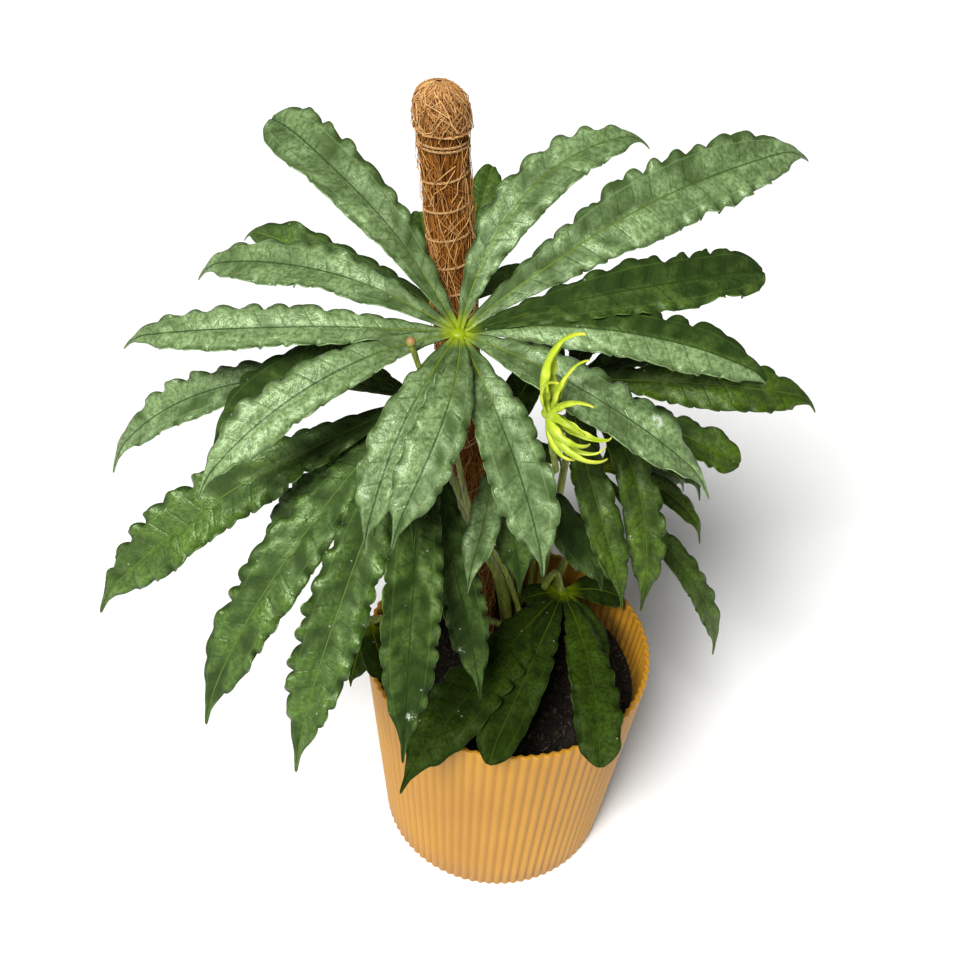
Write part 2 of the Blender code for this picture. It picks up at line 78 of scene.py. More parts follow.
def times(tree, a, b):
    return calc(tree, "MULTIPLY", a, b)


def plus(tree, a, b):
    return calc(tree, "ADD", a, b)


def minus(tree, a, b):
    return calc(tree, "SUBTRACT", a, b)


def times_plus(tree, value, factor, base):
    return calc(tree, "MULTIPLY_ADD", value, factor, base)


def vector_calc(tree, operation, a, b, out=0):
    """One step of arithmetic on vectors. A scale's number has an input of its own."""
    second = 3 if operation == "SCALE" else 1
    return put(tree, "ShaderNodeVectorMath", {0: a, second: b}, out=out, operation=operation)


def combine(tree, **parts):
    """A vector from its x, y and z."""
    return put(tree, "ShaderNodeCombineXYZ", {label.upper(): value for label, value in parts.items()})


def split(tree, value, kind="ShaderNodeSeparateXYZ"):
    """The three parts of a vector or of a colour."""
    return put(tree, kind, {0: value}).node.outputs[:3]


def ease(tree, value, low, high, at_low=0.0, at_high=1.0):
    """Turn a value between low and high smoothly into one between at_low and at_high."""
    inputs = {"Value": value, "From Min": low, "From Max": high, "To Min": at_low, "To Max": at_high}
    return put(tree, "ShaderNodeMapRange", inputs, interpolation_type="SMOOTHSTEP")


def fade(tree, value, low, high):
    """One below low, nothing above high."""
    return ease(tree, value, low, high, 1.0, 0.0)


print("arithmetic ready")

# %% [markdown]
# Colours are blended, noise varies them, and every pattern is placed by the object's own coordinates,
# so that it stays on the plant wherever the camera stands. A group's sockets are told by example: the
# type of each default gives the type of its socket, and None stands for geometry.

# %% Node colours, groups and materials
SOCKETS = {float: "NodeSocketFloat", int: "NodeSocketInt", tuple: "NodeSocketColor",
           type(None): "NodeSocketGeometry"}
BLACK = (0.0, 0.0, 0.0, 1.0)


def mix_colour(tree, share, a, b, blend="MIX"):
    """Blend two colours."""
    return put(tree, "ShaderNodeMix", {0: share, 6: a, 7: b}, out=2, data_type="RGBA", blend_type=blend)


def toward(tree, colour, mask, amount, other):
    """Move a colour towards another, where a mask says so."""
    return mix_colour(tree, times(tree, mask, amount), colour, other)


def object_place(tree):
    return put(tree, "ShaderNodeTexCoord", out="Object")


def noise(tree, place, scale, detail, roughness=0.5):
    inputs = {"Vector": place, "Scale": scale, "Detail": detail, "Roughness": roughness}
    return put(tree, "ShaderNodeTexNoise", inputs)


def group_with(name, kind, inputs, outputs):
    """Start a node group with named inputs and outputs; returns the tree and its inputs."""
    tree = bpy.data.node_groups.new(name, kind)
    for label, value in inputs.items():
        socket = tree.interface.new_socket(name=label, in_out="INPUT", socket_type=SOCKETS[type(value)])
        if value is not None:
            socket.default_value = value
    for label, value in outputs.items():
        tree.interface.new_socket(name=label, in_out="OUTPUT", socket_type=SOCKETS[type(value)])
    return tree, tree.nodes.new("NodeGroupInput").outputs


def hand_out(tree, values):
    """Wire the group's outputs."""
    node = tree.nodes.new("NodeGroupOutput")
    for label, value in values.items():
        tree.links.new(value, node.inputs[label])


def use_group(tree, group, inputs):
    """Place a shader group in a tree and return its outputs."""
    return put(tree, "ShaderNodeGroup", inputs, node_tree=group).node.outputs


def new_material(name, **fixed):
    """A material with one Principled shader; fixed values go straight onto its sockets."""
    material = bpy.data.materials.new(name)
    material.use_nodes = True
    shader = material.node_tree.nodes["Principled BSDF"]
    for label, value in fixed.items():
        shader.inputs[label.replace("_", " ")].default_value = value
    return material, material.node_tree, shader


def wire(tree, shader, **values):
    """Wire values to the shader's inputs."""
    for label, value in values.items():
        tree.links.new(value, shader.inputs[label.replace("_", " ")])


def bump_from(tree, shader, height, strength, distance):
    """Feed a height into the shader's normal."""
    inputs = {"Strength": strength, "Distance": distance, "Height": height}
    wire(tree, shader, Normal=put(tree, "ShaderNodeBump", inputs))


def dress_node(name, material):
    """Give a node of the frame its material."""
    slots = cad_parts[name].data.materials
    slots.clear()
    slots.append(material)


print("sockets by example:", ", ".join(sorted(SOCKETS.values())))

# %% [markdown]
# ## The camera and the room
# The plant is seen from in front and from above, so the camera looks down by about 41 degrees and rolls
# a little. The lens was worked out from the ellipse of the pot's rim: how wide and how deep the ellipse
# is, and how the pot narrows below it, fix the distance, the pitch and the focal length together.

# %% Camera
CAMERA_PLACE = (-0.0227, -0.4740, 0.6670)
CAMERA_PITCH = 40.73
CAMERA_ROLL = 4.24
CAMERA_LENS = 46.9
SENSOR_WIDTH = 36.0

camera = bpy.data.objects.new("camera", bpy.data.cameras.new("camera"))
camera.data.lens = CAMERA_LENS
camera.data.sensor_width = SENSOR_WIDTH
camera.data.clip_start = 10 * MM
pitch = Matrix.Rotation(math.radians(90 - CAMERA_PITCH), 4, "X")
roll = Matrix.Rotation(math.radians(CAMERA_ROLL), 4, "Z")
camera.matrix_world = Matrix.Translation(CAMERA_PLACE) @ pitch @ roll
bpy.context.scene.collection.objects.link(camera)
bpy.context.scene.camera = camera
bpy.context.scene.view_settings.view_transform = "Standard"
print("camera looks along", [round(v, 2) for v in camera.matrix_world.to_3x3() @ Vector((0, 0, -1))])

# %% [markdown]
# A pale floor and a pale sky keep the background near white. The camera sees the sky bright, but only a
# little of its light reaches the plant, just enough to fill the shadows. One broad sun from above, in
# front and a little to the left gives the leaves their shape and their sheen, and leaves in shade what
# the top leaf covers.

# %% Floor and light
FLOOR_SIZE = 12.0
SKY_STRENGTH = 0.11
SKY_SEEN = 0.90
SUN_STRENGTH = 4.8
SUN_SPREAD = 24
SUN_FROM_FRONT = 36
SUN_FROM_LEFT = 20

floor_mesh = bpy.data.meshes.new("floor")
half_floor = FLOOR_SIZE / 2
corners = [(-half_floor, -half_floor, 0), (half_floor, -half_floor, 0)]
corners += [(half_floor, half_floor, 0), (-half_floor, half_floor, 0)]
floor_mesh.from_pydata(corners, [], [(0, 1, 2, 3)])
floor_paper, tree, shader = new_material("floor_paper", Roughness=0.9)
mottle = put(tree, "ShaderNodeTexNoise", {"Scale": 3.0, "Detail": 2.0})
wire(tree, shader, Base_Color=mix_colour(tree, mottle, (0.90, 0.90, 0.89, 1), (0.92, 0.92, 0.91, 1)))
floor_mesh.materials.append(floor_paper)
floor = bpy.data.objects.new("floor", floor_mesh)
bpy.context.scene.collection.objects.link(floor)

world = bpy.data.worlds.new("room")
world.use_nodes = True
room = world.node_tree
room.nodes["Background"].inputs["Color"].default_value = (1.0, 1.0, 1.0, 1.0)
seen = put(room, "ShaderNodeLightPath", out="Is Camera Ray")
sky = put(room, "ShaderNodeMapRange", {"Value": seen, "To Min": SKY_STRENGTH, "To Max": SKY_SEEN})
room.links.new(sky, room.nodes["Background"].inputs["Strength"])
bpy.context.scene.world = world

sun = bpy.data.objects.new("sun", bpy.data.lights.new("sun", "SUN"))
sun.data.energy = SUN_STRENGTH
sun.data.angle = math.radians(SUN_SPREAD)
sun.rotation_euler = (math.radians(SUN_FROM_FRONT), math.radians(-SUN_FROM_LEFT), 0)
bpy.context.scene.collection.objects.link(sun)
print("sky", SKY_STRENGTH, "sun", SUN_STRENGTH)

# %% [markdown]
# ## Effects that several materials share
# Old water leaves small chalky drops and patches on the leaves. Scattered cells, of which only a few are
# kept, make the drops, and the highest spots of a noise make the patches.

# %% Dried drops
drops, given = group_with("dried_drops", "ShaderNodeTree",
                          {"Drop Scale": 260.0, "Amount": 0.03, "Patch Scale": 30.0, "Patch Level": 0.74},
                          {"Mask": 0.0})
place = object_place(drops)
cells = put(drops, "ShaderNodeTexVoronoi", {"Vector": place, "Scale": given["Drop Scale"]}).node.outputs
cell_lot = split(drops, cells["Color"], "ShaderNodeSeparateColor")[0]
kept = calc(drops, "LESS_THAN", cell_lot, given["Amount"])
spot = fade(drops, cells["Distance"], 0.16, 0.34)
over = minus(drops, noise(drops, place, given["Patch Scale"], 6.0, 0.72), given["Patch Level"])
hand_out(drops, {"Mask": calc(drops, "MAXIMUM", times(drops, kept, spot), ease(drops, over, 0.0, 0.03))})
print("group:", drops.name)

# %% [markdown]
# Bark, wood, thread and coir all show short streaks and a scatter of lighter and darker fibres. One
# group stretches a noise along Z, and each material picks its own scale and colours. Where the streaks
# are all there is to it, one function makes the whole material.

# %% Fibre grain
grain, given = group_with("fibre_grain", "ShaderNodeTree", {"Scale": 400.0, "Stretch": 0.12},
                          {"Streaks": 0.0, "Blotches": 0.0})
place = object_place(grain)
stretched = vector_calc(grain, "MULTIPLY", place, combine(grain, x=1.0, y=1.0, z=given["Stretch"]))
hand_out(grain, {"Streaks": noise(grain, stretched, given["Scale"], 4.0),
                 "Blotches": noise(grain, place, 55.0, 3.0)})


def streaky_material(name, scale, stretch, dark, light, strength, distance, **fixed):
    """A material with streaks between two colours; returns the grain and the colour too."""
    material, tree, shader = new_material(name, **fixed)
    streaks = use_group(tree, grain, {"Scale": scale, "Stretch": stretch})
    colour = mix_colour(tree, ease(tree, streaks["Streaks"], 0.35, 0.7), (*dark, 1), (*light, 1))
    wire(tree, shader, Base_Color=colour)
    bump_from(tree, shader, streaks["Streaks"], strength, distance)
    return material, tree, shader, streaks, colour


print("group:", grain.name)

# %% [markdown]
# ## The leaves
# A leaflet of this plant is a long blade. Side veins leave its midrib every centimetre or so and slant
# towards the tip. Between two veins the blade bulges up, and at the margin it waves up and down and
# sticks out in round lobes. All of that follows the veins, so each blade is a fine grid whose shape is a
# formula of two numbers: how many veins along, and how far across. The same two numbers go into a UV
# map, so that the colour of the veins falls exactly on their shape. A sculpted leaf would do as well,
# but a formula makes all 56 leaflets from one short row each. Sizes here are in metres by way of MM.
# Those that are set against a row's own length or width stay in plain millimetres, as the rows are.

# %% Leaf sizes
Leaflet = namedtuple("Leaflet", "bearing sweep rise fall length width blunt", defaults=(False,))
Leaf = namedtuple("Leaf", "hub stand route radius leaflets")

FACE_TILT = 30
BLADE_THICKNESS = 0.5 * MM
ROOT_WIDTH = 2.6 * MM
TIP_WIDTH = 0.5 * MM
USUAL_WIDTH = 26
STEP = 0.74
COLUMNS = 19
COLUMN_CROWDING = 0.85
KNOT_SPACING = 16
PROFILE_AT = (0.0, 0.06, 0.15, 0.30, 0.45, 0.60, 0.72, 0.80, 0.87, 0.93, 0.96, 1.0)
PROFILE_WIDTH = (0.10, 0.18, 0.40, 0.75, 0.97, 1.04, 1.00, 0.86, 0.62, 0.28, 0.12, 0.04)
BLUNT_END = 0.86
VEIN_SPACING = 10.5
VEIN_SLANT = 0.62
print("a vein every", VEIN_SPACING, "mm")

# %% [markdown]
# Each leaflet is set by how it leaves its hub: a bearing, a sideways sweep, a rise and a fall in
# degrees, then a length and a width in millimetres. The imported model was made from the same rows. A
# leaf has its hub, the bearing where its stalk stands round the crown, the points its stalk runs
# through, and the stalk's radius, also in millimetres.

# %% Leaf tables
LEAF_ROWS = {
    "leaf_top": (
        (-37, -5, 349), 216, [(-3, 12, 160), (-10, 5, 190), (-20, -1, 214), (-30, -6, 238), (-38, -9, 266),
                              (-38, -8, 310)], 2.6,
        [(148, -19, 52, 59, 149, 28, True), (159, -3, 21, 50, 147, 25), (196, -32, 11, 33, 159, 24),
         (190, -6, 2, 60, 136, 22), (209, 6, 8, 55, 140, 23), (246, 0, -5, 60, 107, 22),
         (278, -50, 0, 60, 107, 23), (297, 10, -11, 55, 116, 27), (326, 24, 8, 50, 137, 27),
         (355, 16, 18, 50, 154, 26), (2, 37, 24, 39, 157, 27, True), (27, 13, 37, 46, 210, 33),
         (66, -42, 68, 74, 140, 25)]),
    "leaf_left": (
        (-55, 6, 301), 180, [(-6, 18, 160), (-15, 10, 200), (-27, 7, 232), (-41, 5, 264)], 2.6,
        [(179, -4, 20, 82, 186, 22), (212, -26, -6, 50, 198, 31), (224, -40, -14, 60, 118, 20),
         (236, -20, -12, 60, 194, 29), (256, -16, -15, 60, 192, 29), (277, -10, -11, 60, 175, 26),
         (284, 34, -32, 44, 153, 21), (266, -14, 22, 70, 80, 14), (280, -14, 20, 70, 84, 14),
         (150, 0, 10, 50, 100, 20)]),
    "leaf_right": (
        (18, 18, 310), 36, [(17, 37, 160), (20, 36, 210), (21, 28, 265)], 2.4,
        [(327, 55, 32, 57, 127, 23), (271, 47, -7, 60, 115, 18), (314, -32, -4, 80, 122, 19),
         (318, 41, 5, 31, 92, 20, True), (306, 58, 12, 70, 90, 18), (40, 0, 10, 50, 100, 20),
         (78, 0, 10, 50, 95, 20), (112, 0, 5, 50, 85, 18)]),
    "leaf_back": (
        (-46, 50, 325), 108, [(4, 41, 150), (-6, 47, 205), (-22, 52, 265)], 2.3,
        [(62, 18, 62, 40, 84, 18), (126, -26, 53, 40, 60, 14), (180, -40, 27, 40, 120, 20),
         (92, 0, 45, 45, 80, 16), (28, 0, 30, 45, 60, 14)]),
    "leaf_inner": (
        (-17, 5, 274), 144, [(-1, 35, 160), (-3, 34, 215), (-8, 24, 250)], 2.2,
        [(272, -18, -4, 35, 74, 15), (290, 10, -24, 50, 70, 18), (314, 45, -14, 50, 92, 22),
         (58, -10, 62, 30, 56, 17), (20, 0, 5, 50, 42, 12)]),
    "leaf_low_right": (
        (41, 43, 235), 0, [(25, 31, 160), (33, 35, 195)], 2.2,
        [(337, -6, 25, 80, 70, 12), (303, 75, -8, 74, 136, 15), (60, 0, 10, 50, 80, 18),
         (105, 0, 10, 50, 80, 18), (20, 0, 5, 50, 60, 16)]),
    "leaf_front": (
        (28, 22, 161), 324, [(14, 20, 140), (16, 20, 160), (23, 24, 174)], 2.2,
        [(240, -4, 14, 40, 153, 31), (256, -8, 14, 40, 121, 23, True), (288, -16, 16, 40, 117, 24, True),
         (204, 0, 20, 30, 26, 13), (20, -10, 5, 50, 44, 18), (316, -28, 2, 40, 50, 14)]),
    "leaf_rim": (
        (-77, -13, 163), 252, [(1, 8, 142), (-20, -3, 163), (-48, -12, 176)], 2.0,
        [(253, -6, -15, 60, 34, 16), (292, 5, 9, 60, 40, 18), (215, 0, 0, 60, 34, 14),
         (175, 0, 5, 60, 30, 12)]),
}
LEAVES = {name: Leaf(hub, stand, route, radius, [Leaflet(*row) for row in rows])
          for name, (hub, stand, route, radius, rows) in LEAF_ROWS.items()}
print(sum(len(leaf.leaflets) for leaf in LEAVES.values()), "leaflets")

# %% [markdown]
# The midrib is walked in small steps. At each step the heading turns a little and the climb falls a
# little, which bends the leaflet the way its own weight does.

# %% Midrib of a leaflet
def unit_rows(rows):
    """Scale each row of vectors to length one."""
    return rows / np.linalg.norm(rows, axis=-1, keepdims=True)


def midrib(hub, row, steps):
    """Points along a leaflet's midrib, from its hub to its tip."""
    shares = (np.arange(steps) + 0.5) / steps
    heading = np.radians(row.bearing + row.sweep * shares)
    climb = np.radians(row.rise - row.fall * shares)
    moves = np.stack([np.cos(climb) * np.cos(heading), np.cos(climb) * np.sin(heading), np.sin(climb)], 1)
    return hub + np.vstack([np.zeros(3), np.cumsum(moves, 0)]) * (row.length * MM / steps)


def across_blade(points):
    """The direction across the blade, for a blade turned to the light."""
    tilt = math.radians(FACE_TILT)
    return unit_rows(np.cross((0.0, -math.sin(tilt), math.cos(tilt)), np.gradient(points, axis=0)))


test_row = LEAVES["leaf_top"].leaflets[0]
print("first tip in mm:", np.round(midrib(np.array(LEAVES["leaf_top"].hub) * MM, test_row, 100)[-1] / MM))

# %% [markdown]
# On a real leaf no two lobes are alike, but neighbours resemble each other. So nothing here is drawn
# afresh for each point: a slow draw is a smooth random curve along the blade, and the puckers are a
# smooth random field of bumps and hollows over it.

# %% Slow draws
PUCKER_TABLE = (80, 24)
PUCKER_MIDDLE = 10


def smooth_step(part):
    return part * part * (3 - 2 * part)


def slow_draw(draw, count, knots, low, high):
    """A smooth random curve of count values between low and high."""
    values = draw.uniform(low, high, knots + 3)
    at = np.linspace(0, knots, count)
    first = np.floor(at).astype(int)
    part = smooth_step(at - first)
    return (values[first] * (1 - part) + values[first + 1] * part)[:, None]


def puckers(draw, along, across):
    """Smooth random bumps and hollows between -1 and 1, for places counted in bumps."""
    values = draw.uniform(-1, 1, PUCKER_TABLE)
    first, second = np.floor(along).astype(int), np.floor(across).astype(int) + PUCKER_MIDDLE
    part, other = smooth_step(along - np.floor(along)), smooth_step(across - np.floor(across))
    near = values[first, second] * (1 - part) + values[first + 1, second] * part
    far = values[first, second + 1] * (1 - part) + values[first + 1, second + 1] * part
    return near * (1 - other) + far * other


class Layout:
    """Where the points of a blade's grid lie, from root to tip and from side to side."""

    def __init__(self, row, count, draw):
        self.row, self.count, self.draw = row, count, draw
        self.knots = max(3, int(row.length / KNOT_SPACING))
        self.shares = np.linspace(0, 1, count)[:, None]
        even = np.linspace(-1, 1, COLUMNS)[None, :]
        self.across = np.sign(even) * np.abs(even) ** COLUMN_CROWDING
        self.aside = np.abs(self.across)
        self.right = self.across > 0

    def slow(self, low, high, knots=None):
        """A slow draw along the blade."""
        return slow_draw(self.draw, self.count, knots or self.knots, low, high)

    def per_side(self, low, high):
        """A slow draw for each side of the midrib."""
        return np.where(self.right, self.slow(low, high), self.slow(low, high))


test_layout = Layout(test_row, 100, np.random.default_rng(1))
print("slow draw:", np.round(test_layout.slow(0, 1)[::20, 0], 2))

# %% [markdown]
# The margin has more length than the blade, so it waves up and down and breaks into round lobes with
# narrow notches. About two lobes ride on each wave. The crest tells how far the margin stands out, and
# the rise how high it stands.

# %% Waves and lobes of the margin
WAVE_SPACING = 13
LOBES_PER_WAVE = 1.9
RISE_AFTER_CREST = 0.2


def margin_waves(blade, step):
    """The phase of the waves, the crest and the rise at each point."""
    pace = np.cumsum(blade.per_side(0.7, 1.3), 0) * step / WAVE_SPACING
    waves = pace + blade.draw.uniform(0, 1, 2)[blade.right.astype(int)] - 0.15 * blade.aside
    phase = 2 * math.pi * waves
    lobes = LOBES_PER_WAVE * waves + blade.draw.uniform(0, 1)
    lobe_share = blade.per_side(0.15, 0.75)
    crest = 0.7 * np.sin(phase) + lobe_share * (2 * np.abs(np.sin(math.pi * lobes)) ** 0.8 - 1)
    rise = np.sin(phase + RISE_AFTER_CREST) + 0.25 * lobe_share * np.sin(2 * math.pi * lobes)
    return phase, crest, rise


print("waves of", WAVE_SPACING, "mm with", LOBES_PER_WAVE, "lobes each")

# %% [markdown]
# The blade's half width comes from a profile that swells past its middle. Notches are trimmed out of it
# near the margin. Its height adds up from what a real blade does: each half is arched and folded up a
# little, the margin band waves and hangs, the skin bulges between the side veins and is puckered, the
# midrib lies in a groove, and the whole blade is rolled about it. Six leaflets of the top leaf show
# strong bands across, so they bulge twice as much.

# %% Width and height of a blade
BAND_FROM = 0.62
SCALLOP = 0.17
FOLD = 0.13
ARCH = 0.26
RUFFLE = 0.115
UNDULATION = 0.9 * MM
BULGE = 0.16 * MM
BANDED_BULGE = 0.34 * MM
BANDED = LEAVES["leaf_top"].leaflets[2:4] + LEAVES["leaf_top"].leaflets[9:13]
PUCKER = 0.70 * MM
LARGE_PUCKERS = (7.0, 5.0)
SMALL_PUCKERS = (3.4, 3.0)
BLADE_ROLL = 0.30
GROOVE_DEPTH = 0.4 * MM
GROOVE_WIDTH = 0.8 * MM


def blade_spread(blade, body, band, crest, strength, hang):
    """Half the plain width, and how far each point lies aside of the midrib."""
    row, shares = blade.row, blade.shares
    profile = np.interp(shares * (BLUNT_END if row.blunt else 1.0), PROFILE_AT, PROFILE_WIDTH)
    half = profile * row.width * MM / 2
    half[0] = ROOT_WIDTH / 2
    if row.blunt:
        half = half * np.sqrt(np.clip(1 - (np.clip(shares - 0.9, 0, 1) / 0.1) ** 2, 0.05, 1))
    else:
        half[-1] = TIP_WIDTH / 2
    notch = np.clip(0.5 - 0.35 * crest, 0, 1) ** 1.3
    trim = SCALLOP * strength * notch + 0.12 * np.abs(hang)
    return half, half * blade.across * (1 + body * (0.05 - trim * band))


def blade_lift(blade, body, half, spread, cell, wave):
    """How far each point lies above the midrib, and the puckers of the skin."""
    row, draw, aside = blade.row, blade.draw, blade.aside
    size = row.width / USUAL_WIDTH
    fold = draw.uniform(0.3, 1.5) * FOLD
    lift = half * ((fold + ARCH) * np.sqrt(aside ** 2 + 0.01) - ARCH * aside ** 2) + half * body * wave
    lift = lift + UNDULATION * body * blade.per_side(-1, 1) * aside ** 1.5
    plump = np.clip(aside * 3, 0, 1) * (1 - aside ** 4)
    bulge = np.sin(math.pi * cell) ** 2 * blade.per_side(0.3, 1.3)
    lift = lift + (BANDED_BULGE if row in BANDED else BULGE) * size * body * plump * bulge
    slanted = np.clip(blade.shares * row.length - 0.8 * np.abs(spread) / MM, 0, None)
    folds = 0
    for share, (long, wide) in ((1.0, LARGE_PUCKERS), (0.3, SMALL_PUCKERS)):
        folds = folds + share * puckers(draw, slanted / long, spread / (wide * MM))
    lift = lift + PUCKER * size * body * blade.per_side(0.4, 1.2) * folds * np.clip(aside * 4, 0, 1)
    roll = blade.slow(-BLADE_ROLL, BLADE_ROLL, 2) * np.clip(blade.shares / 0.3, 0, 1)
    groove = GROOVE_DEPTH * np.exp(-(spread / GROOVE_WIDTH) ** 2)
    return lift - groove + np.tan(roll) * spread, folds


print("banded leaflets:", len(BANDED))

# %% [markdown]
# Now the grid can be put together. A wave seen from the side would look like a row of thorns, so the
# margin's points also slide along the leaf, which rounds the lobes and narrows the notches. The margin
# that lies towards the back hangs lower. The shine is painted light and shade, with a slow random part.
# It says how much light a place catches: more on the puckers and the risen waves, and less on the back
# margin and near the hub, where it paints shade. It later shifts the colour.

# %% Grid of a blade
SLIDE = 1.15 * MM
SWAY = 0.8 * MM
TAIL_DROP = 6.5 * MM
TAIL_FROM = 0.90
BACK_HANG = 0.15
ROOT_SHADE_REACH = 0.40


def blade_grid(points, row, draw, curl=1.0):
    """Grid of points of a waved blade, with vein number, share across, spread and shine at each."""
    blade = Layout(row, len(points), draw)
    body = np.clip((blade.shares - 0.04) / 0.2, 0, 1) * np.clip((0.97 - blade.shares) / 0.08, 0, 1)
    band = np.clip((blade.aside - BAND_FROM) / (1 - BAND_FROM), 0, 1)
    step = row.length / (blade.count - 1)
    along = np.cumsum(blade.slow(0.8, 1.25), 0) * step / VEIN_SPACING + 0.5 * blade.right
    phase, crest, rise = margin_waves(blade, step)
    strength = curl * blade.per_side(0.3, 1.5)
    across = across_blade(points)
    back = across[:, 1:2] * np.sign(blade.across)
    hang = blade.per_side(-0.12, 0.26) + BACK_HANG * back
    half, spread = blade_spread(blade, body, band, crest, strength, hang)
    wave = band * (RUFFLE * strength * rise - hang)
    lift, folds = blade_lift(blade, body, half, spread, along - VEIN_SLANT * blade.aside, wave)
    sway = blade.slow(-1, 1, max(2, blade.knots // 3)) * SWAY * body
    slide = -SLIDE * body * band * np.cos(phase)
    tail = TAIL_DROP * np.clip((blade.shares - TAIL_FROM) / (1 - TAIL_FROM), 0, 1) ** 2 * (not row.blunt)

    forward = unit_rows(np.gradient(points, axis=0))
    upward = np.cross(forward, across)
    grid = points[:, None, :] - np.array((0.0, 0.0, 1.0)) * tail[:, :, None]
    for direction, move in ((across, spread + sway), (forward, slide), (upward, lift)):
        grid = grid + direction[:, None, :] * move[:, :, None]
    # Painted light and shade: the shine lightens the puckers and risen waves, and paints shade on the back
    # margin and near the hub.
    shine = blade.per_side(-0.8, 0.8) + 1.1 * folds + 1.8 * band * (strength * rise - back)
    shine = shine - 1.5 * np.clip(1 - blade.shares / ROOT_SHADE_REACH, 0, 1)
    return grid, along, blade.across + 0 * blade.shares, spread, shine


test_grid = blade_grid(midrib(np.zeros(3), test_row, 100), test_row, np.random.default_rng(1))[0]
print("blade grid", test_grid.shape)

# %% [markdown]
# A leaf mesh is many shells: a blade for each leaflet, the stalk and the knot at the hub. They are
# collected in one builder, which keeps for each vertex the vein map and a tint of four numbers: the
# share along the leaflet, the painted light and shade of that place between dark and light, with some
# random tone, the distance from its midrib, and whether its midrib is a pale one.

# %% Mesh builder
class Builder:
    """Collects vertices, faces, vein map, tint and material slot for one mesh."""

    def __init__(self):
        self.vertices, self.maps, self.tints, self.faces, self.slots = [], [], [], [], []

    def add(self, vertices, faces, tints, slots, maps=None):
        start = len(self.vertices)
        self.vertices += [tuple(v) for v in vertices]
        self.faces += [tuple(start + i for i in face) for face in faces]
        self.tints += [tuple(t) for t in tints]
        self.slots += slots if isinstance(slots, list) else [slots] * len(faces)
        self.maps += [(0.0, 0.0)] * len(vertices) if maps is None else [tuple(m) for m in maps]

    def mesh(self, name, materials):
        mesh = bpy.data.meshes.new(name)
        mesh.from_pydata(self.vertices, [], self.faces)
        for material in materials:
            mesh.materials.append(material)
        mesh.polygons.foreach_set("material_index", self.slots)
        corner = np.empty(len(mesh.loops), int)
        mesh.loops.foreach_get("vertex_index", corner)
        mesh.uv_layers.new(name="vein_map").data.foreach_set("uv", np.array(self.maps)[corner].ravel())
        tint = mesh.attributes.new("leaf_tint", "FLOAT_COLOR", "POINT")
        tint.data.foreach_set("color", np.array(self.tints).ravel())
        mesh.shade_smooth()
        return mesh


def add_shell(builder, grid, maps, tints, left_slot=0, right_slot=0):
    """Give a grid a thickness: an upper layer, a lower layer and a rim. Each half has its slot."""
    rows, columns = grid.shape[:2]
    size = rows * columns
    normal = unit_rows(np.cross(np.gradient(grid, axis=0), np.gradient(grid, axis=1)))
    layers = [(grid + side * normal * BLADE_THICKNESS / 2).reshape(-1, 3) for side in (1, -1)]
    index = np.arange(size).reshape(rows, columns)
    quads = np.stack([index[:-1, :-1], index[1:, :-1], index[1:, 1:], index[:-1, 1:]], -1).reshape(-1, 4)
    rim = np.concatenate([index[:, 0], index[-1, 1:], index[-2::-1, -1], index[0, -2:0:-1]])
    after = np.roll(rim, -1)
    rim_faces = np.stack([after, rim, rim + size, after + size], 1)
    faces = quads.tolist() + (quads[:, ::-1] + size).tolist() + rim_faces.tolist()
    half = (columns - 1) // 2
    slots = ([left_slot] * half + [right_slot] * (columns - 1 - half)) * (rows - 1) * 2
    slots += [left_slot] * len(rim)
    tints, maps = np.concatenate([tints, tints]), np.concatenate([maps, maps])
    builder.add(np.concatenate(layers), faces, tints, slots, maps)


print("builder ready")

# %% [markdown]
# Stalks are tubes along a smooth path from the soil to the hub. The path runs through a few set points,
# and the tube swells a little where it reaches the hub. A curve with a bevel would do as well, but a
# tube made ring by ring can go into the same mesh as the blades. Tubes, the pot and the pole's core are
# all stacks of rings with a point at the middle of each end, so one function gives their faces.

# %% Stalks and hubs
CROWN_CENTRE = (8 * MM, 28 * MM)
STALK_RING = 9.8 * MM
STALK_FOOT = 98 * MM
SOIL_TOP = 114 * MM
STALK_SIDES = 12
PATH_STEPS = 10
EVEN_TINT = 0.5


def ring_walls(rings, sides):
    """Faces between a stack of rings."""
    faces = []
    for i in range(rings - 1):
        for k in range(sides):
            a, b = i * sides + k, i * sides + (k + 1) % sides
            faces.append((a, b, b + sides, a + sides))
    return faces


def ring_faces(rings, sides):
    """Faces round a stack of rings. The last two points are the middles of its ends."""
    first, last, top = rings * sides, rings * sides + 1, (rings - 1) * sides
    faces = ring_walls(rings, sides)
    faces += [(first, (k + 1) % sides, k) for k in range(sides)]
    faces += [(last, top + k, top + (k + 1) % sides) for k in range(sides)]
    return faces


def smooth_path(points, steps):
    """Points along a Catmull-Rom curve through the given points, starting straight up."""
    points = np.asarray(points, float)
    below = points[0] - np.array([0.0, 0.0, np.linalg.norm(points[1] - points[0])])
    ends = [below, *points, 2 * points[-1] - points[-2]]
    path = []
    for p0, p1, p2, p3 in zip(ends, ends[1:], ends[2:], ends[3:]):
        for t in np.arange(steps) / steps:
            bend = 2 * p1 + (p2 - p0) * t + (2 * p0 - 5 * p1 + 4 * p2 - p3) * t ** 2
            path.append(0.5 * (bend + (3 * p1 - p0 - 3 * p2 + p3) * t ** 3))
    path.append(points[-1])
    return np.array(path)


def tube(path, radii, sides):
    """A closed tube round a path."""
    tangents = unit_rows(np.gradient(path, axis=0))
    across = unit_rows(np.cross(tangents[0], (0.3, 1.0, 0.2)))
    angles = 2 * math.pi * np.arange(sides) / sides
    rings = []
    for point, tangent, radius in zip(path, tangents, radii):
        across = unit_rows(across - tangent * across.dot(tangent))
        other = np.cross(tangent, across)
        rings.append(point + radius * (np.cos(angles)[:, None] * across + np.sin(angles)[:, None] * other))
    return np.vstack(rings + [path[:1], path[-1:]]), ring_faces(len(path), sides)


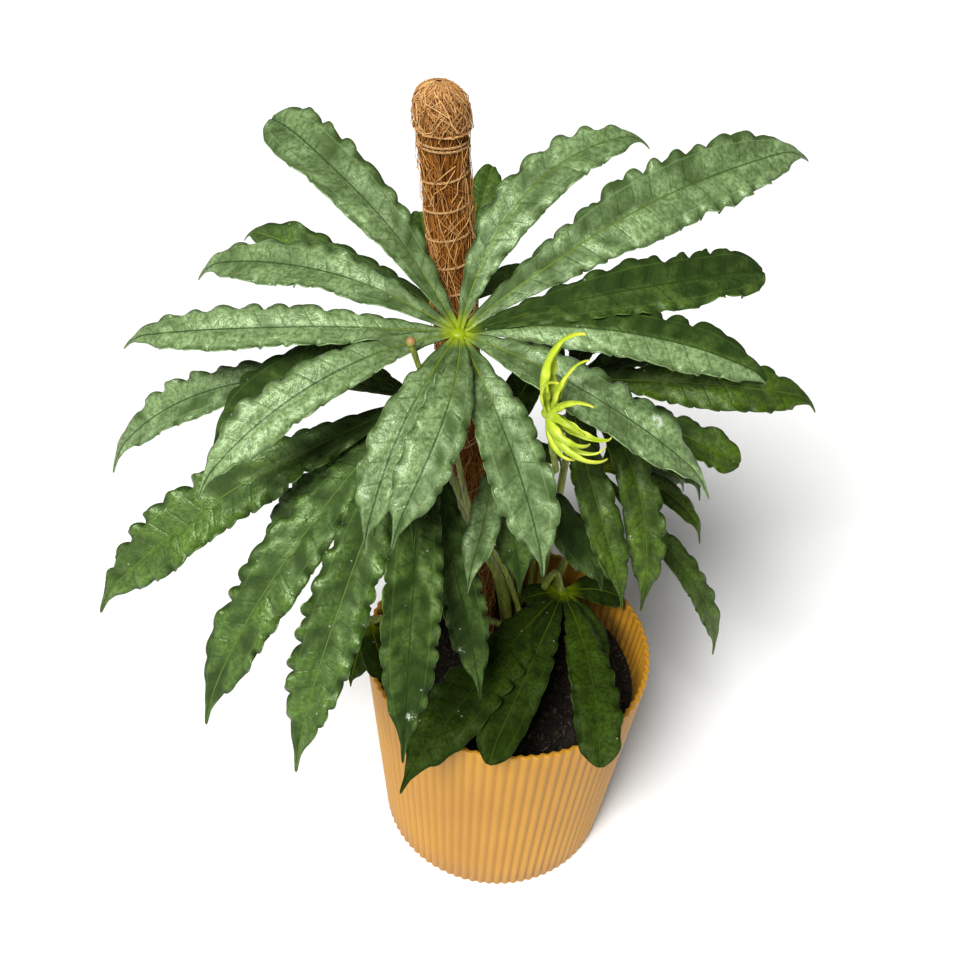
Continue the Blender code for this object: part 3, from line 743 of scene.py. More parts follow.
def add_stalk(builder, stand, route, hub, radius):
    """A stalk from its stand in the soil to its hub, in the second slot."""
    turn = math.radians(stand)
    foot = (CROWN_CENTRE[0] + STALK_RING * math.cos(turn), CROWN_CENTRE[1] + STALK_RING * math.sin(turn))
    points = [(*foot, SOIL_TOP + 4 * MM)] + [tuple(np.array(p) * MM) for p in route] + [tuple(hub)]
    path = np.vstack([(*foot, STALK_FOOT), smooth_path(points, PATH_STEPS)])
    shares = np.linspace(0, 1, len(path))
    radii = radius * MM * np.interp(shares, (0, 0.9, 1.0), (1.0, 0.84, 1.05))
    vertices, faces = tube(path, radii, STALK_SIDES)
    share = np.concatenate([np.repeat(shares, STALK_SIDES), [0, 1]])
    builder.add(vertices, faces, [(s, EVEN_TINT, 0.0, 0.0) for s in share], 1)


def add_ball(builder, centre, width, height):
    """A small closed knot, in the first slot."""
    work = bmesh.new()
    bmesh.ops.create_icosphere(work, subdivisions=3, radius=1.0)
    radii = np.array((width, width, height)) * MM
    vertices = [np.array(centre) + np.array(v.co) * radii for v in work.verts]
    faces = [[v.index for v in face.verts] for face in work.faces]
    work.free()
    builder.add(vertices, faces, [(0.0, EVEN_TINT, 0.0, 0.0)] * len(vertices), 0)


print("stalk sides:", STALK_SIDES)

# %% [markdown]
# ### The leaf's skin
# Seen close, the blade is a deep green with a soft sheen. Its midrib is a thin groove, and its side
# veins are faint creases. Where they are darker, that is partly their own colour and partly painted shade
# in the creases. Its root is yellow-green for a centimetre. Its margin has a thin paler edge, partly its
# own colour and partly a painted highlight where the edge catches the light. A painted image could show
# all that, but a formula stays sharp from near and far. The skin reads the vein map and the tint, so it
# stays on the blade wherever the leaflet bends. It is a shader group, because five materials wear it with
# different greens. This cell makes its masks.

# %% Masks of the leaf skin
skin, given = group_with("leaf_skin", "ShaderNodeTree",
                         {"Blade": (0.08, 0.16, 0.02, 1), "Groove": (0.03, 0.09, 0.004, 1),
                          "Root": (0.4, 0.5, 0.02, 1), "Gloss": 0.4},
                         {"Colour": BLACK, "Roughness": 0.0, "Height": 0.0})
along, across, _ = split(skin, put(skin, "ShaderNodeUVMap", uv_map="vein_map"))
tint = put(skin, "ShaderNodeAttribute", attribute_name="leaf_tint")
share, lot, reach = split(skin, tint, "ShaderNodeSeparateColor")
pale_rib = tint.node.outputs["Alpha"]
place = object_place(skin)

aside = calc(skin, "ABSOLUTE", across)
cell = minus(skin, along, times(skin, aside, VEIN_SLANT))
near_vein = calc(skin, "PINGPONG", cell, 0.5)
side_vein = times(skin, fade(skin, near_vein, 0.0, 0.10), fade(skin, aside, 0.6, 0.95))
main_vein = fade(skin, reach, 0.006, 0.026)
net_place = combine(skin, x=times(skin, cell, 4.0), y=times(skin, across, 7.0))
net = put(skin, "ShaderNodeTexVoronoi", {"Vector": net_place, "Scale": 1.0}, feature="DISTANCE_TO_EDGE")
net_line = fade(skin, net, 0.0, 0.16)
clouds = noise(skin, place, 60.0, 4.0)
crinkle = noise(skin, place, 190.0, 3.0, 0.55)
grainy = noise(skin, place, 460.0, 3.0, 0.6)
print("skin reads:", "vein_map, leaf_tint")

# %% [markdown]
# The colour starts between a shaded and a lit copy of the blade, set by the light share and by soft
# clouds. The two copies are painted shade and painted light, and the lit one's strong blue also paints a
# sheen. The light share is mostly painted light and shade; the clouds are the blade's own random tone.
# Then each mask in turn moves it towards another colour. The bulges get a painted highlight and the net
# of fine veins is darker. The dapples are the blade's own tone, and the margin band gets painted shade.
# The side veins and the midrib are darker, partly their own colour and partly painted shade in their
# creases. The root is yellow-green and the ridge along the band is paler. The thin edge is paler too,
# partly its own colour and partly a painted highlight.

# %% Colours of the leaf skin
PALE_RIB_GREEN = (0.16, 0.25, 0.012, 1)
RIDGE_AT = 0.64
# Painted shade and painted light: a shaded and a lit copy of the blade. The lit copy's strong blue paints a
# sheen.
shaded_blade = mix_colour(skin, 1.0, given["Blade"], (0.22, 0.29, 0.12, 1), "MULTIPLY")
lit_blade = mix_colour(skin, 1.0, given["Blade"], (2.4, 2.1, 4.6, 1), "MULTIPLY")
cloud_share = times_plus(skin, ease(skin, clouds, 0.30, 0.72), 0.15, -0.05)
# The light share is painted light and shade from the leaf tint, mixed with random clouds.
light_share = calc(skin, "MAXIMUM", times_plus(skin, lot, 0.85, cloud_share), 0.0)
light_share = calc(skin, "MINIMUM", light_share, 1.0)
# The groove colour is partly the midrib's own colour and partly painted shade in its groove.
groove = mix_colour(skin, ease(skin, share, 0.06, 0.40, 0.7, 0.0), given["Groove"], given["Root"])
groove = toward(skin, groove, pale_rib, ease(skin, share, 0.25, 1.10, 0.85, 0.15), PALE_RIB_GREEN)
ridge = fade(skin, calc(skin, "ABSOLUTE", minus(skin, aside, RIDGE_AT)), 0.0, 0.05)

colour = mix_colour(skin, light_share, shaded_blade, lit_blade)
# Painted highlight on the bulges and on the thin edge; painted shade on the margin band and in the side-vein
# creases. The rest is the blade's own colour.
for mask, amount, other in ((ease(skin, near_vein, 0.05, 0.4), 0.08, lit_blade),
                            (net_line, 0.16, shaded_blade),
                            (ease(skin, grainy, 0.62, 0.36), 0.55, shaded_blade),
                            (ease(skin, aside, 0.70, 0.98), 0.65, shaded_blade),
                            (side_vein, 0.32, shaded_blade),
                            (main_vein, 0.85, groove),
                            (fade(skin, share, 0.025, 0.085), 0.95, given["Root"]),
                            (ridge, 0.22, lit_blade),
                            (ease(skin, aside, 0.970, 1.0), 0.70, lit_blade)):
    colour = toward(skin, colour, mask, amount, other)
print("colour nodes:", len(skin.nodes))

# %% [markdown]
# Last come the dried drops, with four larger residues at set places, then the gloss and the height. Dark
# places are rougher than light ones, because the shaded half of a real blade shows hardly any sheen.

# %% Drops, gloss and height of the leaf skin
RESIDUES = [((52.8, -41.9, 336.8), 5.0), ((-71.6, -72.6, 306.9), 3.0), ((-25.4, -64.7, 205.7), 3.6),
            ((-46.2, -112.6, 210.1), 3.0)]
chalk = use_group(skin, drops, {"Drop Scale": 520.0, "Amount": 0.007,
                                "Patch Scale": 26.0, "Patch Level": 0.71})
chalk_share = times(skin, chalk["Mask"], 0.35)
crumbs = noise(skin, place, 420.0, 5.0, 0.7)
for middle, radius in RESIDUES:
    from_middle = vector_calc(skin, "DISTANCE", place, tuple(v * MM for v in middle), out=1)
    near = ease(skin, from_middle, radius * 0.3 * MM, radius * MM, 0.8, 0.0)
    chalk_share = calc(skin, "MAXIMUM", chalk_share, times(skin, near, ease(skin, crumbs, 0.49, 0.57)))
colour = mix_colour(skin, chalk_share, colour, (0.62, 0.68, 0.55, 1))
roughness = times_plus(skin, crinkle, 0.22, minus(skin, given["Gloss"], 0.11))
roughness = plus(skin, roughness, ease(skin, light_share, 0.10, 0.65, 0.40, 0.0))
roughness = times_plus(skin, chalk_share, 0.5, roughness)
height = times_plus(skin, grainy, 0.8, times(skin, crinkle, 0.8))
for vein, depth in ((side_vein, 0.26), (net_line, 0.05), (main_vein, 0.6)):
    height = minus(skin, height, times(skin, vein, depth))
hand_out(skin, {"Colour": colour, "Roughness": roughness, "Height": height})
print("group:", skin.name)

# %% [markdown]
# Five greens wear the skin. They are lit and shaded copies of one green, partly the leaves' own age and
# partly painted light and shade. The top leaf is painted pale and satin as in the sun, and the side leaves
# are deeper and glossy. Halves turned away from the light get a painted shade green, and the sheltered
# leaves get the darkest painted shade. Each row gives the blade, the groove, the roughness, the strength
# of the sheen, the sheen's colour and the root. The dimmer root of the lower leaves is painted shade.

# %% Leaf materials
PLAIN_SHEEN = (0.85, 1.0, 0.70)
# Painted shade: the lower leaves get a dimmer root than the top leaf.
SHADED_ROOT = (0.13, 0.18, 0.002)
# Lit and shaded copies of one green: partly age, partly painted light and shade.
GREENS = {
    "top_green": ((0.118, 0.199, 0.038), (0.010, 0.036, 0.001), 0.34, 0.60, PLAIN_SHEEN, (0.26, 0.34, 0.001)),
    "side_green": ((0.049, 0.103, 0.0075), (0.095, 0.165, 0.022), 0.36, 0.60, (0.78, 1.0, 0.56), SHADED_ROOT),
    "turned_away_shade_green": ((0.047, 0.095, 0.007), (0.016, 0.044, 0.001), 0.46, 0.30, PLAIN_SHEEN, SHADED_ROOT),
    "shade_green": ((0.036, 0.074, 0.002), (0.060, 0.100, 0.008), 0.44, 0.36, PLAIN_SHEEN, SHADED_ROOT),
    "deep_shade_green": ((0.019, 0.040, 0.001), (0.034, 0.062, 0.004), 0.58, 0.14, PLAIN_SHEEN, SHADED_ROOT),
}
greens = {}
for name, (blade, groove, gloss, shine, sheen, root) in GREENS.items():
    greens[name], tree, shader = new_material(name, Specular_IOR_Level=shine, Specular_Tint=(*sheen, 1))
    worn = use_group(tree, skin, {"Blade": (*blade, 1), "Groove": (*groove, 1),
                                  "Root": (*root, 1), "Gloss": gloss})
    wire(tree, shader, Base_Color=worn["Colour"], Roughness=worn["Roughness"])
    bump_from(tree, shader, worn["Height"], 0.60, 1.0 * MM)
print("materials:", ", ".join(greens))

# %% [markdown]
# Stalks are yellow-green with darker streaks, and brownish at their foot.

# %% Stalk material
stalk_green, tree, shader, streaks, colour = streaky_material(
    "stalk_green", 700.0, 0.08, (0.13, 0.17, 0.025), (0.30, 0.34, 0.05), 0.4, 0.4 * MM,
    Specular_IOR_Level=0.4)
tint = put(tree, "ShaderNodeAttribute", attribute_name="leaf_tint")
stalk_share = split(tree, tint, "ShaderNodeSeparateColor")[0]
colour = mix_colour(tree, ease(tree, stalk_share, 0.0, 0.16, 0.75, 0.0), colour, (0.17, 0.10, 0.04, 1))
wire(tree, shader, Base_Color=colour, Roughness=times_plus(tree, streaks["Blotches"], 0.3, 0.35))
print("material:", stalk_green.name)

# %% [markdown]
# ### Grow the leaves
# Each leaf becomes one mesh, which rides on the root body and stands for its node in the frame. Each
# leaflet has a tone from 0 to 1, partly its age and partly painted light and shade. Older leaflets are
# darker, sheltered ones get painted shade, and sunlit ones get painted light. On some leaflets of the top
# leaf one half is painted darker than the other, as painted shade on the half turned away from the light.
# The half shift sets by how much, and a half that ends up below a limit wears the turned-away shade green.
# Two leaflets reach out into the sun and wear the top leaf's green as painted light, and two have a pale
# midrib.

# %% Tones of the leaves
LEAF_GREENS = {"leaf_top": "top_green", "leaf_left": "side_green", "leaf_right": "shade_green",
               "leaf_back": "side_green", "leaf_inner": "deep_shade_green", "leaf_low_right": "shade_green",
               "leaf_front": "deep_shade_green", "leaf_rim": "deep_shade_green"}
# Tones are partly age and partly painted light and shade.
AGE_AND_LIGHT_TONES = {
    "leaf_top": (0.50, 0.60, 0.95, 0.10, 0.90, 0.52, 0.50, 0.48, 0.62, 0.60, 0.07, 0.58, 0.50),
    "leaf_left": (0.62, 0.55, 0.33, 0.27, 0.42, 0.19, 0.10, 0.20, 0.20, 0.30),
    "leaf_right": (0.60, 0.50, 0.60, 0.45, 0.10, 0.40, 0.40, 0.40),
    "leaf_back": (0.70, 0.60, 0.30, 0.40, 0.30),
    "leaf_inner": (0.55, 0.20, 0.05, 0.30, 0.30),
    "leaf_low_right": (0.80, 0.70, 0.40, 0.40, 0.40),
    "leaf_front": (0.50, 0.35, 0.70, 0.40, 0.40, 0.50),
    "leaf_rim": (0.40, 0.40, 0.40, 0.40),
}
# Painted shade on the half of a leaflet that is turned away from the light.
SHADED_HALF_SHIFTS = {"leaf_top": (0.08, 0, 0, 0, 0, -0.15, -0.15, 0.10, 0.06, -0.42, -0.06, -0.18, 0)}
# How far the painted shine moves each leaflet's tone.
SHINE_SPREAD = {"leaf_left": 0.43, "leaf_front": 0.19}
USUAL_SHINE_SPREAD = 0.36
SHADED_HALF_BELOW = 0.22
SUNLIT = [LEAVES["leaf_inner"].leaflets[0], LEAVES["leaf_left"].leaflets[0]]
PALE_RIBS = LEAVES["leaf_top"].leaflets[11:13]
CURLS = {"leaf_top": 1.2, "leaf_left": 1.5, "leaf_right": 1.4, "leaf_back": 0.9, "leaf_inner": 1.0,
         "leaf_low_right": 1.1, "leaf_front": 1.0, "leaf_rim": 0.6}
BLADE_SLOT, SUNLIT_SLOT, SHADED_HALF_SLOT = 0, 2, 3
print("sunlit leaflets:", len(SUNLIT), "pale midribs:", len(PALE_RIBS))

# %% [markdown]
# One seed for each leaf keeps its draws apart from those of the others, so a change to one leaf leaves
# the rest alone. Every piece of the scene goes through the same function at the end: it is linked, rides
# on the root body, and stands for the node that it replaces.

# %% Grow the leaves
FIRST_SEED = 20
TINT_LENGTH = 150
TINT_REACH = 20 * MM


def show_piece(name, mesh, slot, *nodes):
    """Link a finished mesh, ride it on the root body, and let it stand for nodes. The slot is not used."""
    piece = bpy.data.objects.new(name, mesh)
    bpy.context.scene.collection.objects.link(piece)
    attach(piece, "root")
    if nodes:
        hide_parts(*nodes)
    print(name, len(mesh.polygons), "faces")
    return piece


def grow_leaf(name, leaf, seed):
    """Make one leaf: its blades, its knot and its stalk."""
    draw = np.random.default_rng(seed)
    builder = Builder()
    hub = np.array(leaf.hub) * MM
    shifts = SHADED_HALF_SHIFTS.get(name, (0,) * len(leaf.leaflets))
    for row, tone, shift in zip(leaf.leaflets, AGE_AND_LIGHT_TONES[name], shifts):
        steps = max(30, int(round(row.length / STEP)))
        grid, along, across, spread, shine = blade_grid(midrib(hub, row, steps), row, draw, CURLS[name])
        maps = np.stack([along, across], -1).reshape(-1, 2)
        shares = np.linspace(0, 1, steps + 1)[:, None] + 0 * across
        # This lot is painted light and shade: the tone, the painted shade of one half, and the shine.
        lot = tone + shift * np.sign(across) + SHINE_SPREAD.get(name, USUAL_SHINE_SPREAD) * shine
        tints = np.stack([shares * row.length / TINT_LENGTH, np.clip(lot, 0, 1),
                          np.abs(spread) / TINT_REACH, 0 * lot + (row in PALE_RIBS)], -1).reshape(-1, 4)
        # A half in painted shade wears the turned-away shade green.
        slots = [SUNLIT_SLOT if row in SUNLIT else SHADED_HALF_SLOT if half_tone < SHADED_HALF_BELOW else BLADE_SLOT
                 for half_tone in (tone - shift, tone + shift)]
        add_shell(builder, grid, maps, tints, *slots)
    add_ball(builder, hub, 4.0, 2.4)
    add_stalk(builder, leaf.stand, leaf.route, hub, leaf.radius)
    materials = [greens[LEAF_GREENS[name]], stalk_green, greens["top_green"], greens["turned_away_shade_green"]]
    show_piece(name + "_fine", builder.mesh(name + "_fine", materials), "leaf_green", name)


for seed, (name, leaf) in enumerate(LEAVES.items(), FIRST_SEED):
    grow_leaf(name, leaf, seed)

# %% [markdown]
# ### The fresh leaf
# The newest leaf is still half rolled. Its leaflets curl like claws towards one side, and each is
# rolled lengthwise into a gutter. A claw is walked as a midrib is, in the plane of its own outward
# direction and the leaf's axis, and its grid is rolled across instead of waved. So the mesh builder
# and the stalks serve this leaf too.

# %% Claws of the fresh leaf
Claw = namedtuple("Claw", "around lean curl length width")
NEW_HUB = np.array((4, -56, 347)) * MM
NEW_AXIS = np.array((0.88, -0.40, -0.25))
NEW_STAND = 72
NEW_RADIUS = 1.7
NEW_ROUTE = [(11, 36, 160), (11, 31, 200), (12, 20, 235), (12, -14, 280), (11, -42, 305), (7, -54, 328)]
NEW_CLAWS = [Claw(*row) for row in (
    (96, -50, 95, 50, 9), (95, -14, 42, 35, 4.5), (72, 5, 60, 30, 4), (61, -31, 62, 39, 3.5),
    (40, -10, 140, 30, 3.5), (8, -2, 160, 34, 5), (-10, 17, 124, 41, 5), (-43, 9, 98, 27, 7),
    (-76, 23, 131, 37, 4.5), (-109, 57, 96, 35, 4.5))]
CLAW_STEPS = 36
CLAW_COLUMNS = 11
CLAW_PROFILE = (0.5, 0.75, 1, 1, 0.9, 0.74, 0.56, 0.4, 0.28, 0.2, 0.12)
CLAW_FULLNESS = 1.12
CLAW_ROLL = 1.9
TIP_CURL = 28


def claw_grid(row):
    """Grid of a half-rolled leaflet that curls towards the leaf's axis."""
    axis = NEW_AXIS / np.linalg.norm(NEW_AXIS)
    upward = unit_rows(np.array([0.0, 0.0, 1.0]) - axis * axis[2])
    turn = math.radians(row.around)
    outward = math.cos(turn) * np.cross(axis, upward) + math.sin(turn) * upward
    across = np.cross(axis, outward)
    walked = (np.arange(CLAW_STEPS) + 0.5) / CLAW_STEPS
    lean = np.radians(row.lean + row.curl * walked + TIP_CURL * np.clip((walked - 0.7) / 0.3, 0, 1) ** 2)
    moves = np.cos(lean)[:, None] * outward + np.sin(lean)[:, None] * axis
    points = NEW_HUB + np.vstack([np.zeros(3), np.cumsum(moves, 0)]) * (row.length * MM / CLAW_STEPS)
    shares = np.linspace(0, 1, CLAW_STEPS + 1)
    half = np.interp(shares, np.linspace(0, 1, len(CLAW_PROFILE)), CLAW_PROFILE)
    half = half * (1 + 0.10 * np.sin(9 * math.pi * shares + row.around))
    half = half[:, None] * CLAW_FULLNESS * row.width * MM / 2
    bend = CLAW_ROLL * np.linspace(-1, 1, CLAW_COLUMNS)[None, :]
    normal = unit_rows(np.cross(np.gradient(points, axis=0), across))
    grid = points[:, None, :] + across * (half * np.sin(bend) / 1.1)[:, :, None]
    return grid + normal[:, None, :] * (half * (1 - np.cos(bend)) * 0.8)[:, :, None], shares


print(len(NEW_CLAWS), "claws")

# %% [markdown]
# Its skin is a bright lime with light passing through it. It is greener inside the gutter and at the
# hub, and yellower at the tips.

# %% Fresh leaf
fresh_leaf, tree, shader = new_material("fresh_leaf", Specular_IOR_Level=0.45, Subsurface_Weight=0.25)
shader.inputs["Subsurface Radius"].default_value = (0.004, 0.005, 0.001)
tint = put(tree, "ShaderNodeAttribute", attribute_name="leaf_tint")
share, _, gutter = split(tree, tint, "ShaderNodeSeparateColor")
mottle = noise(tree, object_place(tree), 160.0, 4.0)
colour = mix_colour(tree, ease(tree, mottle, 0.35, 0.7), (0.43, 0.56, 0.016, 1), (0.76, 0.86, 0.10, 1))
colour = toward(tree, colour, fade(tree, gutter, 0.0, 0.8), 0.5, (0.16, 0.26, 0.006, 1))
colour = mix_colour(tree, ease(tree, share, 0.0, 0.35, 0.45, 0.0), colour, (0.20, 0.30, 0.008, 1))
colour = mix_colour(tree, ease(tree, share, 0.75, 1.0, 0.0, 0.5), colour, (0.62, 0.58, 0.05, 1))
wire(tree, shader, Base_Color=colour, Roughness=times_plus(tree, mottle, 0.2, 0.32))
bump_from(tree, shader, mottle, 0.3, 0.4 * MM)

builder = Builder()
for claw in NEW_CLAWS:
    grid, shares = claw_grid(claw)
    share = np.repeat(shares, CLAW_COLUMNS)
    gutter = np.tile(np.abs(np.linspace(-1, 1, CLAW_COLUMNS)), CLAW_STEPS + 1)
    tints = np.stack([share, 0 * share + EVEN_TINT, gutter, 0 * share], 1)
    add_shell(builder, grid, tints[:, :2], tints)
add_ball(builder, NEW_HUB, 3.2, 2.6)
add_stalk(builder, NEW_STAND, NEW_ROUTE, NEW_HUB, NEW_RADIUS)
new_mesh = builder.mesh("leaf_new_fine", [fresh_leaf, stalk_green])
show_piece("leaf_new_fine", new_mesh, "leaf_fresh", "leaf_new")

# %% [markdown]
# ### The bud and the crown
# A slender stalk carries a small round bud whose tip has turned orange-brown. The crown is the short
# brown stem that the stalks stand round. It is a node of the frame and only gets its bark.

# %% Bud and crown
BUD_STAND = 288
BUD_RADIUS = 1.5
BUD_ROUTE = [(4, 8, 160), (-8, -4, 205), (-24, -13, 240), (-31, -18, 272), (-38, -21, 305), (-51.5, -24, 338)]
BUD_TIP = np.array((-57, -26, 357)) * MM

bud_skin, tree, shader = new_material("bud_skin", Roughness=0.5)
place = object_place(tree)
blush = noise(tree, place, 500.0, 3.0)
tip_share = ease(tree, split(tree, place)[2], BUD_TIP[2] - 1 * MM, BUD_TIP[2] + 1.6 * MM)
colour = mix_colour(tree, tip_share, (0.22, 0.30, 0.04, 1), (0.36, 0.19, 0.07, 1))
wire(tree, shader, Base_Color=toward(tree, colour, blush, 0.5, (0.30, 0.20, 0.06, 1)))
bump_from(tree, shader, blush, 0.4, 0.4 * MM)

builder = Builder()
add_ball(builder, BUD_TIP, 2.2, 2.4)
add_stalk(builder, BUD_STAND, BUD_ROUTE, BUD_TIP, BUD_RADIUS)
bud_mesh = builder.mesh("bud_stalk_fine", [bud_skin, stalk_green])
show_piece("bud_stalk_fine", bud_mesh, "stem_green", "bud_stalk")
dress_node("crown", streaky_material("crown_bark", 500.0, 0.15, (0.05, 0.03, 0.015), (0.22, 0.14, 0.06),
                                     0.6, 1.0 * MM, Roughness=0.8)[0])
print("bud at", np.round(BUD_TIP / MM))

# %% [markdown]
# ## The pot
# The pot is one thin pressed wall: a plain cone whose skin goes in and out in 84 upright ribs, rounded
# at the crests and sharp in the valleys. A plain turned wall with many sides is made first, and a
# Geometry Nodes tree then presses the ribs into it. The ribs could also be modelled one by one, but
# the tree has inputs for their number and depth, so it would make a pot with other ribs as well.

# %% Plain wall
POT_HEIGHT = 140 * MM
POT_RIM = 80 * MM
POT_BASE = 66.5 * MM
POT_WALL = 2.6 * MM
POT_FLOOR = 4 * MM
POT_EDGE = 0.8 * MM
POT_TAPER = (POT_RIM - POT_BASE) / POT_HEIGHT
OUTSIDE_RINGS = 8
INSIDE_RINGS = 6
RIB_COUNT = 84
RIB_DEPTH = 1.1 * MM
SIDES_PER_RIB = 10


def pot_profile():
    """Radius and height pairs up the outside, over the rim and down the inside."""
    outside = [(POT_BASE + POT_TAPER * z, z)
               for z in np.linspace(POT_EDGE, POT_HEIGHT - POT_EDGE, OUTSIDE_RINGS)]
    rim = []
    for corner, side, turns in ((POT_RIM, -1, (30, 60, 90)), (POT_RIM - POT_WALL, 1, (90, 60, 30))):
        for turn in np.radians(turns):
            rim.append((corner + side * POT_EDGE * (1 - math.cos(turn)),
                        POT_HEIGHT - POT_EDGE * (1 - math.sin(turn))))
    inside = [(POT_BASE + POT_TAPER * z - POT_WALL, z)
              for z in np.linspace(POT_HEIGHT - POT_EDGE, POT_FLOOR, INSIDE_RINGS)]
    return [(POT_BASE - POT_EDGE, 0.0)] + outside + rim + inside


def plain_mesh(name, vertices, faces, edges=()):
    mesh = bpy.data.meshes.new(name)
    mesh.from_pydata([tuple(v) for v in vertices], edges, faces)
    return mesh


def turned(name, profile, sides):
    """A closed solid turned about +Z."""
    angles = 2 * math.pi * np.arange(sides) / sides
    rings = [np.stack([r * np.cos(angles), r * np.sin(angles), 0 * angles + z], 1) for r, z in profile]
    ends = [[(0, 0, profile[0][1])], [(0, 0, profile[-1][1])]]
    return plain_mesh(name, np.vstack(rings + ends), ring_faces(len(profile), sides))


wall = turned("pot_wall", pot_profile(), RIB_COUNT * SIDES_PER_RIB)
print("plain wall", len(wall.polygons), "faces")

# %% [markdown]
# Every Geometry Nodes tree here ends in real geometry with its material, because the export drops
# instances. To run a tree, a carrier object gets it as a modifier, with its inputs set by the sockets'
# identifiers. The evaluated result is kept as a plain mesh, and the carrier is deleted.

# %% Run a Geometry Nodes tree
def finish_tree(tree, geometry, material):
    """Every tree ends the same way: real geometry with its material."""
    real = put(tree, "GeometryNodeRealizeInstances", {"Geometry": geometry})
    dressed = put(tree, "GeometryNodeSetMaterial", {"Geometry": real, "Material": material})
    hand_out(tree, {"Geometry": dressed})


def run_tree(name, mesh, tree, values):
    """Run a tree on a mesh with the given input values and return a plain mesh."""
    carrier = bpy.data.objects.new(name + "_carrier", mesh)
    bpy.context.scene.collection.objects.link(carrier)
    modifier = carrier.modifiers.new("nodes", "NODES")
    modifier.node_group = tree
    for item in tree.interface.items_tree:
        if item.item_type == "SOCKET" and item.in_out == "INPUT" and item.name in values:
            modifier[item.identifier] = values[item.name]
    result = bpy.data.meshes.new_from_object(carrier.evaluated_get(bpy.context.evaluated_depsgraph_get()))
    bpy.data.objects.remove(carrier, do_unlink=True)
    result.name = name
    return result


def shift_points(tree, geometry, **moves):
    """Set each point's Position, or its Offset."""
    moves = {label.capitalize(): value for label, value in moves.items()}
    return put(tree, "GeometryNodeSetPosition", {"Geometry": geometry, **moves})


def store(tree, geometry, name, value, domain="POINT"):
    """Keep a value on the geometry under a name that a material can read."""
    inputs = {"Geometry": geometry, "Name": name, "Value": value}
    return put(tree, "GeometryNodeStoreNamedAttribute", inputs, data_type="FLOAT", domain=domain)


def tube_along(tree, curve, sides, radius):
    """A closed tube along a curve."""
    ring = put(tree, "GeometryNodeCurvePrimitiveCircle", {"Resolution": sides, "Radius": radius})
    return put(tree, "GeometryNodeCurveToMesh", {"Curve": curve, "Profile Curve": ring, "Fill Caps": True})


print("trees end in Realize Instances and Set Material")

# %% [markdown]
# The ribs tree moves each vertex inwards by the rib's depth times one minus the size of a cosine of its
# angle. The middle of the floor stays flat, because the move fades out below a small radius.

# %% Ribs tree
FLAT_FLOOR = (20 * MM, 50 * MM)
LEAST_RADIUS = 0.1 * MM
RIB_SHARPNESS = 1.4
CREASE_ANGLE = 50
pot_yellow, pot_tree, pot_shader = new_material("pot_yellow", Specular_IOR_Level=0.35)
ribs, given = group_with("pressed_ribs", "GeometryNodeTree", {"Geometry": None, "Ribs": 84, "Depth": 0.001},
                         {"Geometry": None})


def around_axis(tree, place, ribs_by_half):
    """Height, level place and radius of a point, and how near it is to a rib's crest."""
    x, y, z = split(tree, place)
    level = combine(tree, x=x, y=y)
    radius = put(tree, "ShaderNodeVectorMath", {0: level}, out=1, operation="LENGTH")
    half_turns = times(tree, calc(tree, "ARCTAN2", y, x), ribs_by_half)
    return z, level, radius, calc(tree, "ABSOLUTE", calc(tree, "COSINE", half_turns))


position = put(ribs, "GeometryNodeInputPosition")
z, level, radius, crest = around_axis(ribs, position, times(ribs, given["Ribs"], 0.5))
inwards = times(ribs, minus(ribs, 1.0, calc(ribs, "POWER", crest, RIB_SHARPNESS)), given["Depth"])
inwards = times(ribs, inwards, ease(ribs, radius, *FLAT_FLOOR))
factor = calc(ribs, "DIVIDE", minus(ribs, radius, inwards), calc(ribs, "MAXIMUM", radius, LEAST_RADIUS))
place = vector_calc(ribs, "ADD", vector_calc(ribs, "SCALE", level, factor), combine(ribs, z=z))
finish_tree(ribs, shift_points(ribs, given["Geometry"], position=place), pot_yellow)
pot_mesh = run_tree("pot_fine", wall, ribs, {"Ribs": RIB_COUNT, "Depth": RIB_DEPTH})
pot_mesh.shade_smooth()
pot_mesh.set_sharp_from_angle(angle=math.radians(CREASE_ANGLE))
show_piece("pot_fine", pot_mesh, "pot_yellow", "pot")

# %% [markdown]
# The pot is moulded in a warm ochre-yellow with a soft satin. Its valleys are painted darker than the
# crests, as painted shade between the ribs. Inside, above the soil line, it is darker in patches, most
# near the soil.

# %% Pot material
tree, place = pot_tree, object_place(pot_tree)
z, _, radius, crest = around_axis(tree, place, RIB_COUNT / 2)
clouds = noise(tree, place, 14.0, 3.0)
colour = mix_colour(tree, ease(tree, clouds, 0.3, 0.7), (0.44, 0.205, 0.014, 1), (0.52, 0.255, 0.022, 1))
# Painted shade: the valleys between the ribs are darker.
colour = toward(tree, colour, fade(tree, crest, 0.0, 0.8), 0.5, (0.34, 0.135, 0.006, 1))
depth = minus(tree, times_plus(tree, z, POT_TAPER, POT_BASE), radius)
inner = ease(tree, depth, POT_WALL * 0.7, POT_WALL)
near_soil = ease(tree, z, SOIL_TOP - 2 * MM, SOIL_TOP + 21 * MM, 1.0, 0.25)
# Darker in patches inside the pot above the soil line, most near the soil.
inner_patches = ease(tree, noise(tree, place, 70.0, 6.0, 0.7), 0.35, 0.65, 0.1, 0.8)
colour = toward(tree, colour, times(tree, inner, near_soil), inner_patches, (0.10, 0.055, 0.02, 1))
wire(tree, pot_shader, Base_Color=colour, Roughness=times_plus(tree, clouds, 0.15, 0.38))
bump_from(tree, pot_shader, noise(tree, place, 1400.0, 2.0), 0.12, 0.3 * MM)
print("material:", pot_yellow.name)

# %% [markdown]
# ## The soil
# The soil is dark bark mix. Its bumpy top is already a node of the frame and gets a material. Loose
# chips and crumbs lie on it, each with a lot of its own for its colour. About one in fourteen is light.

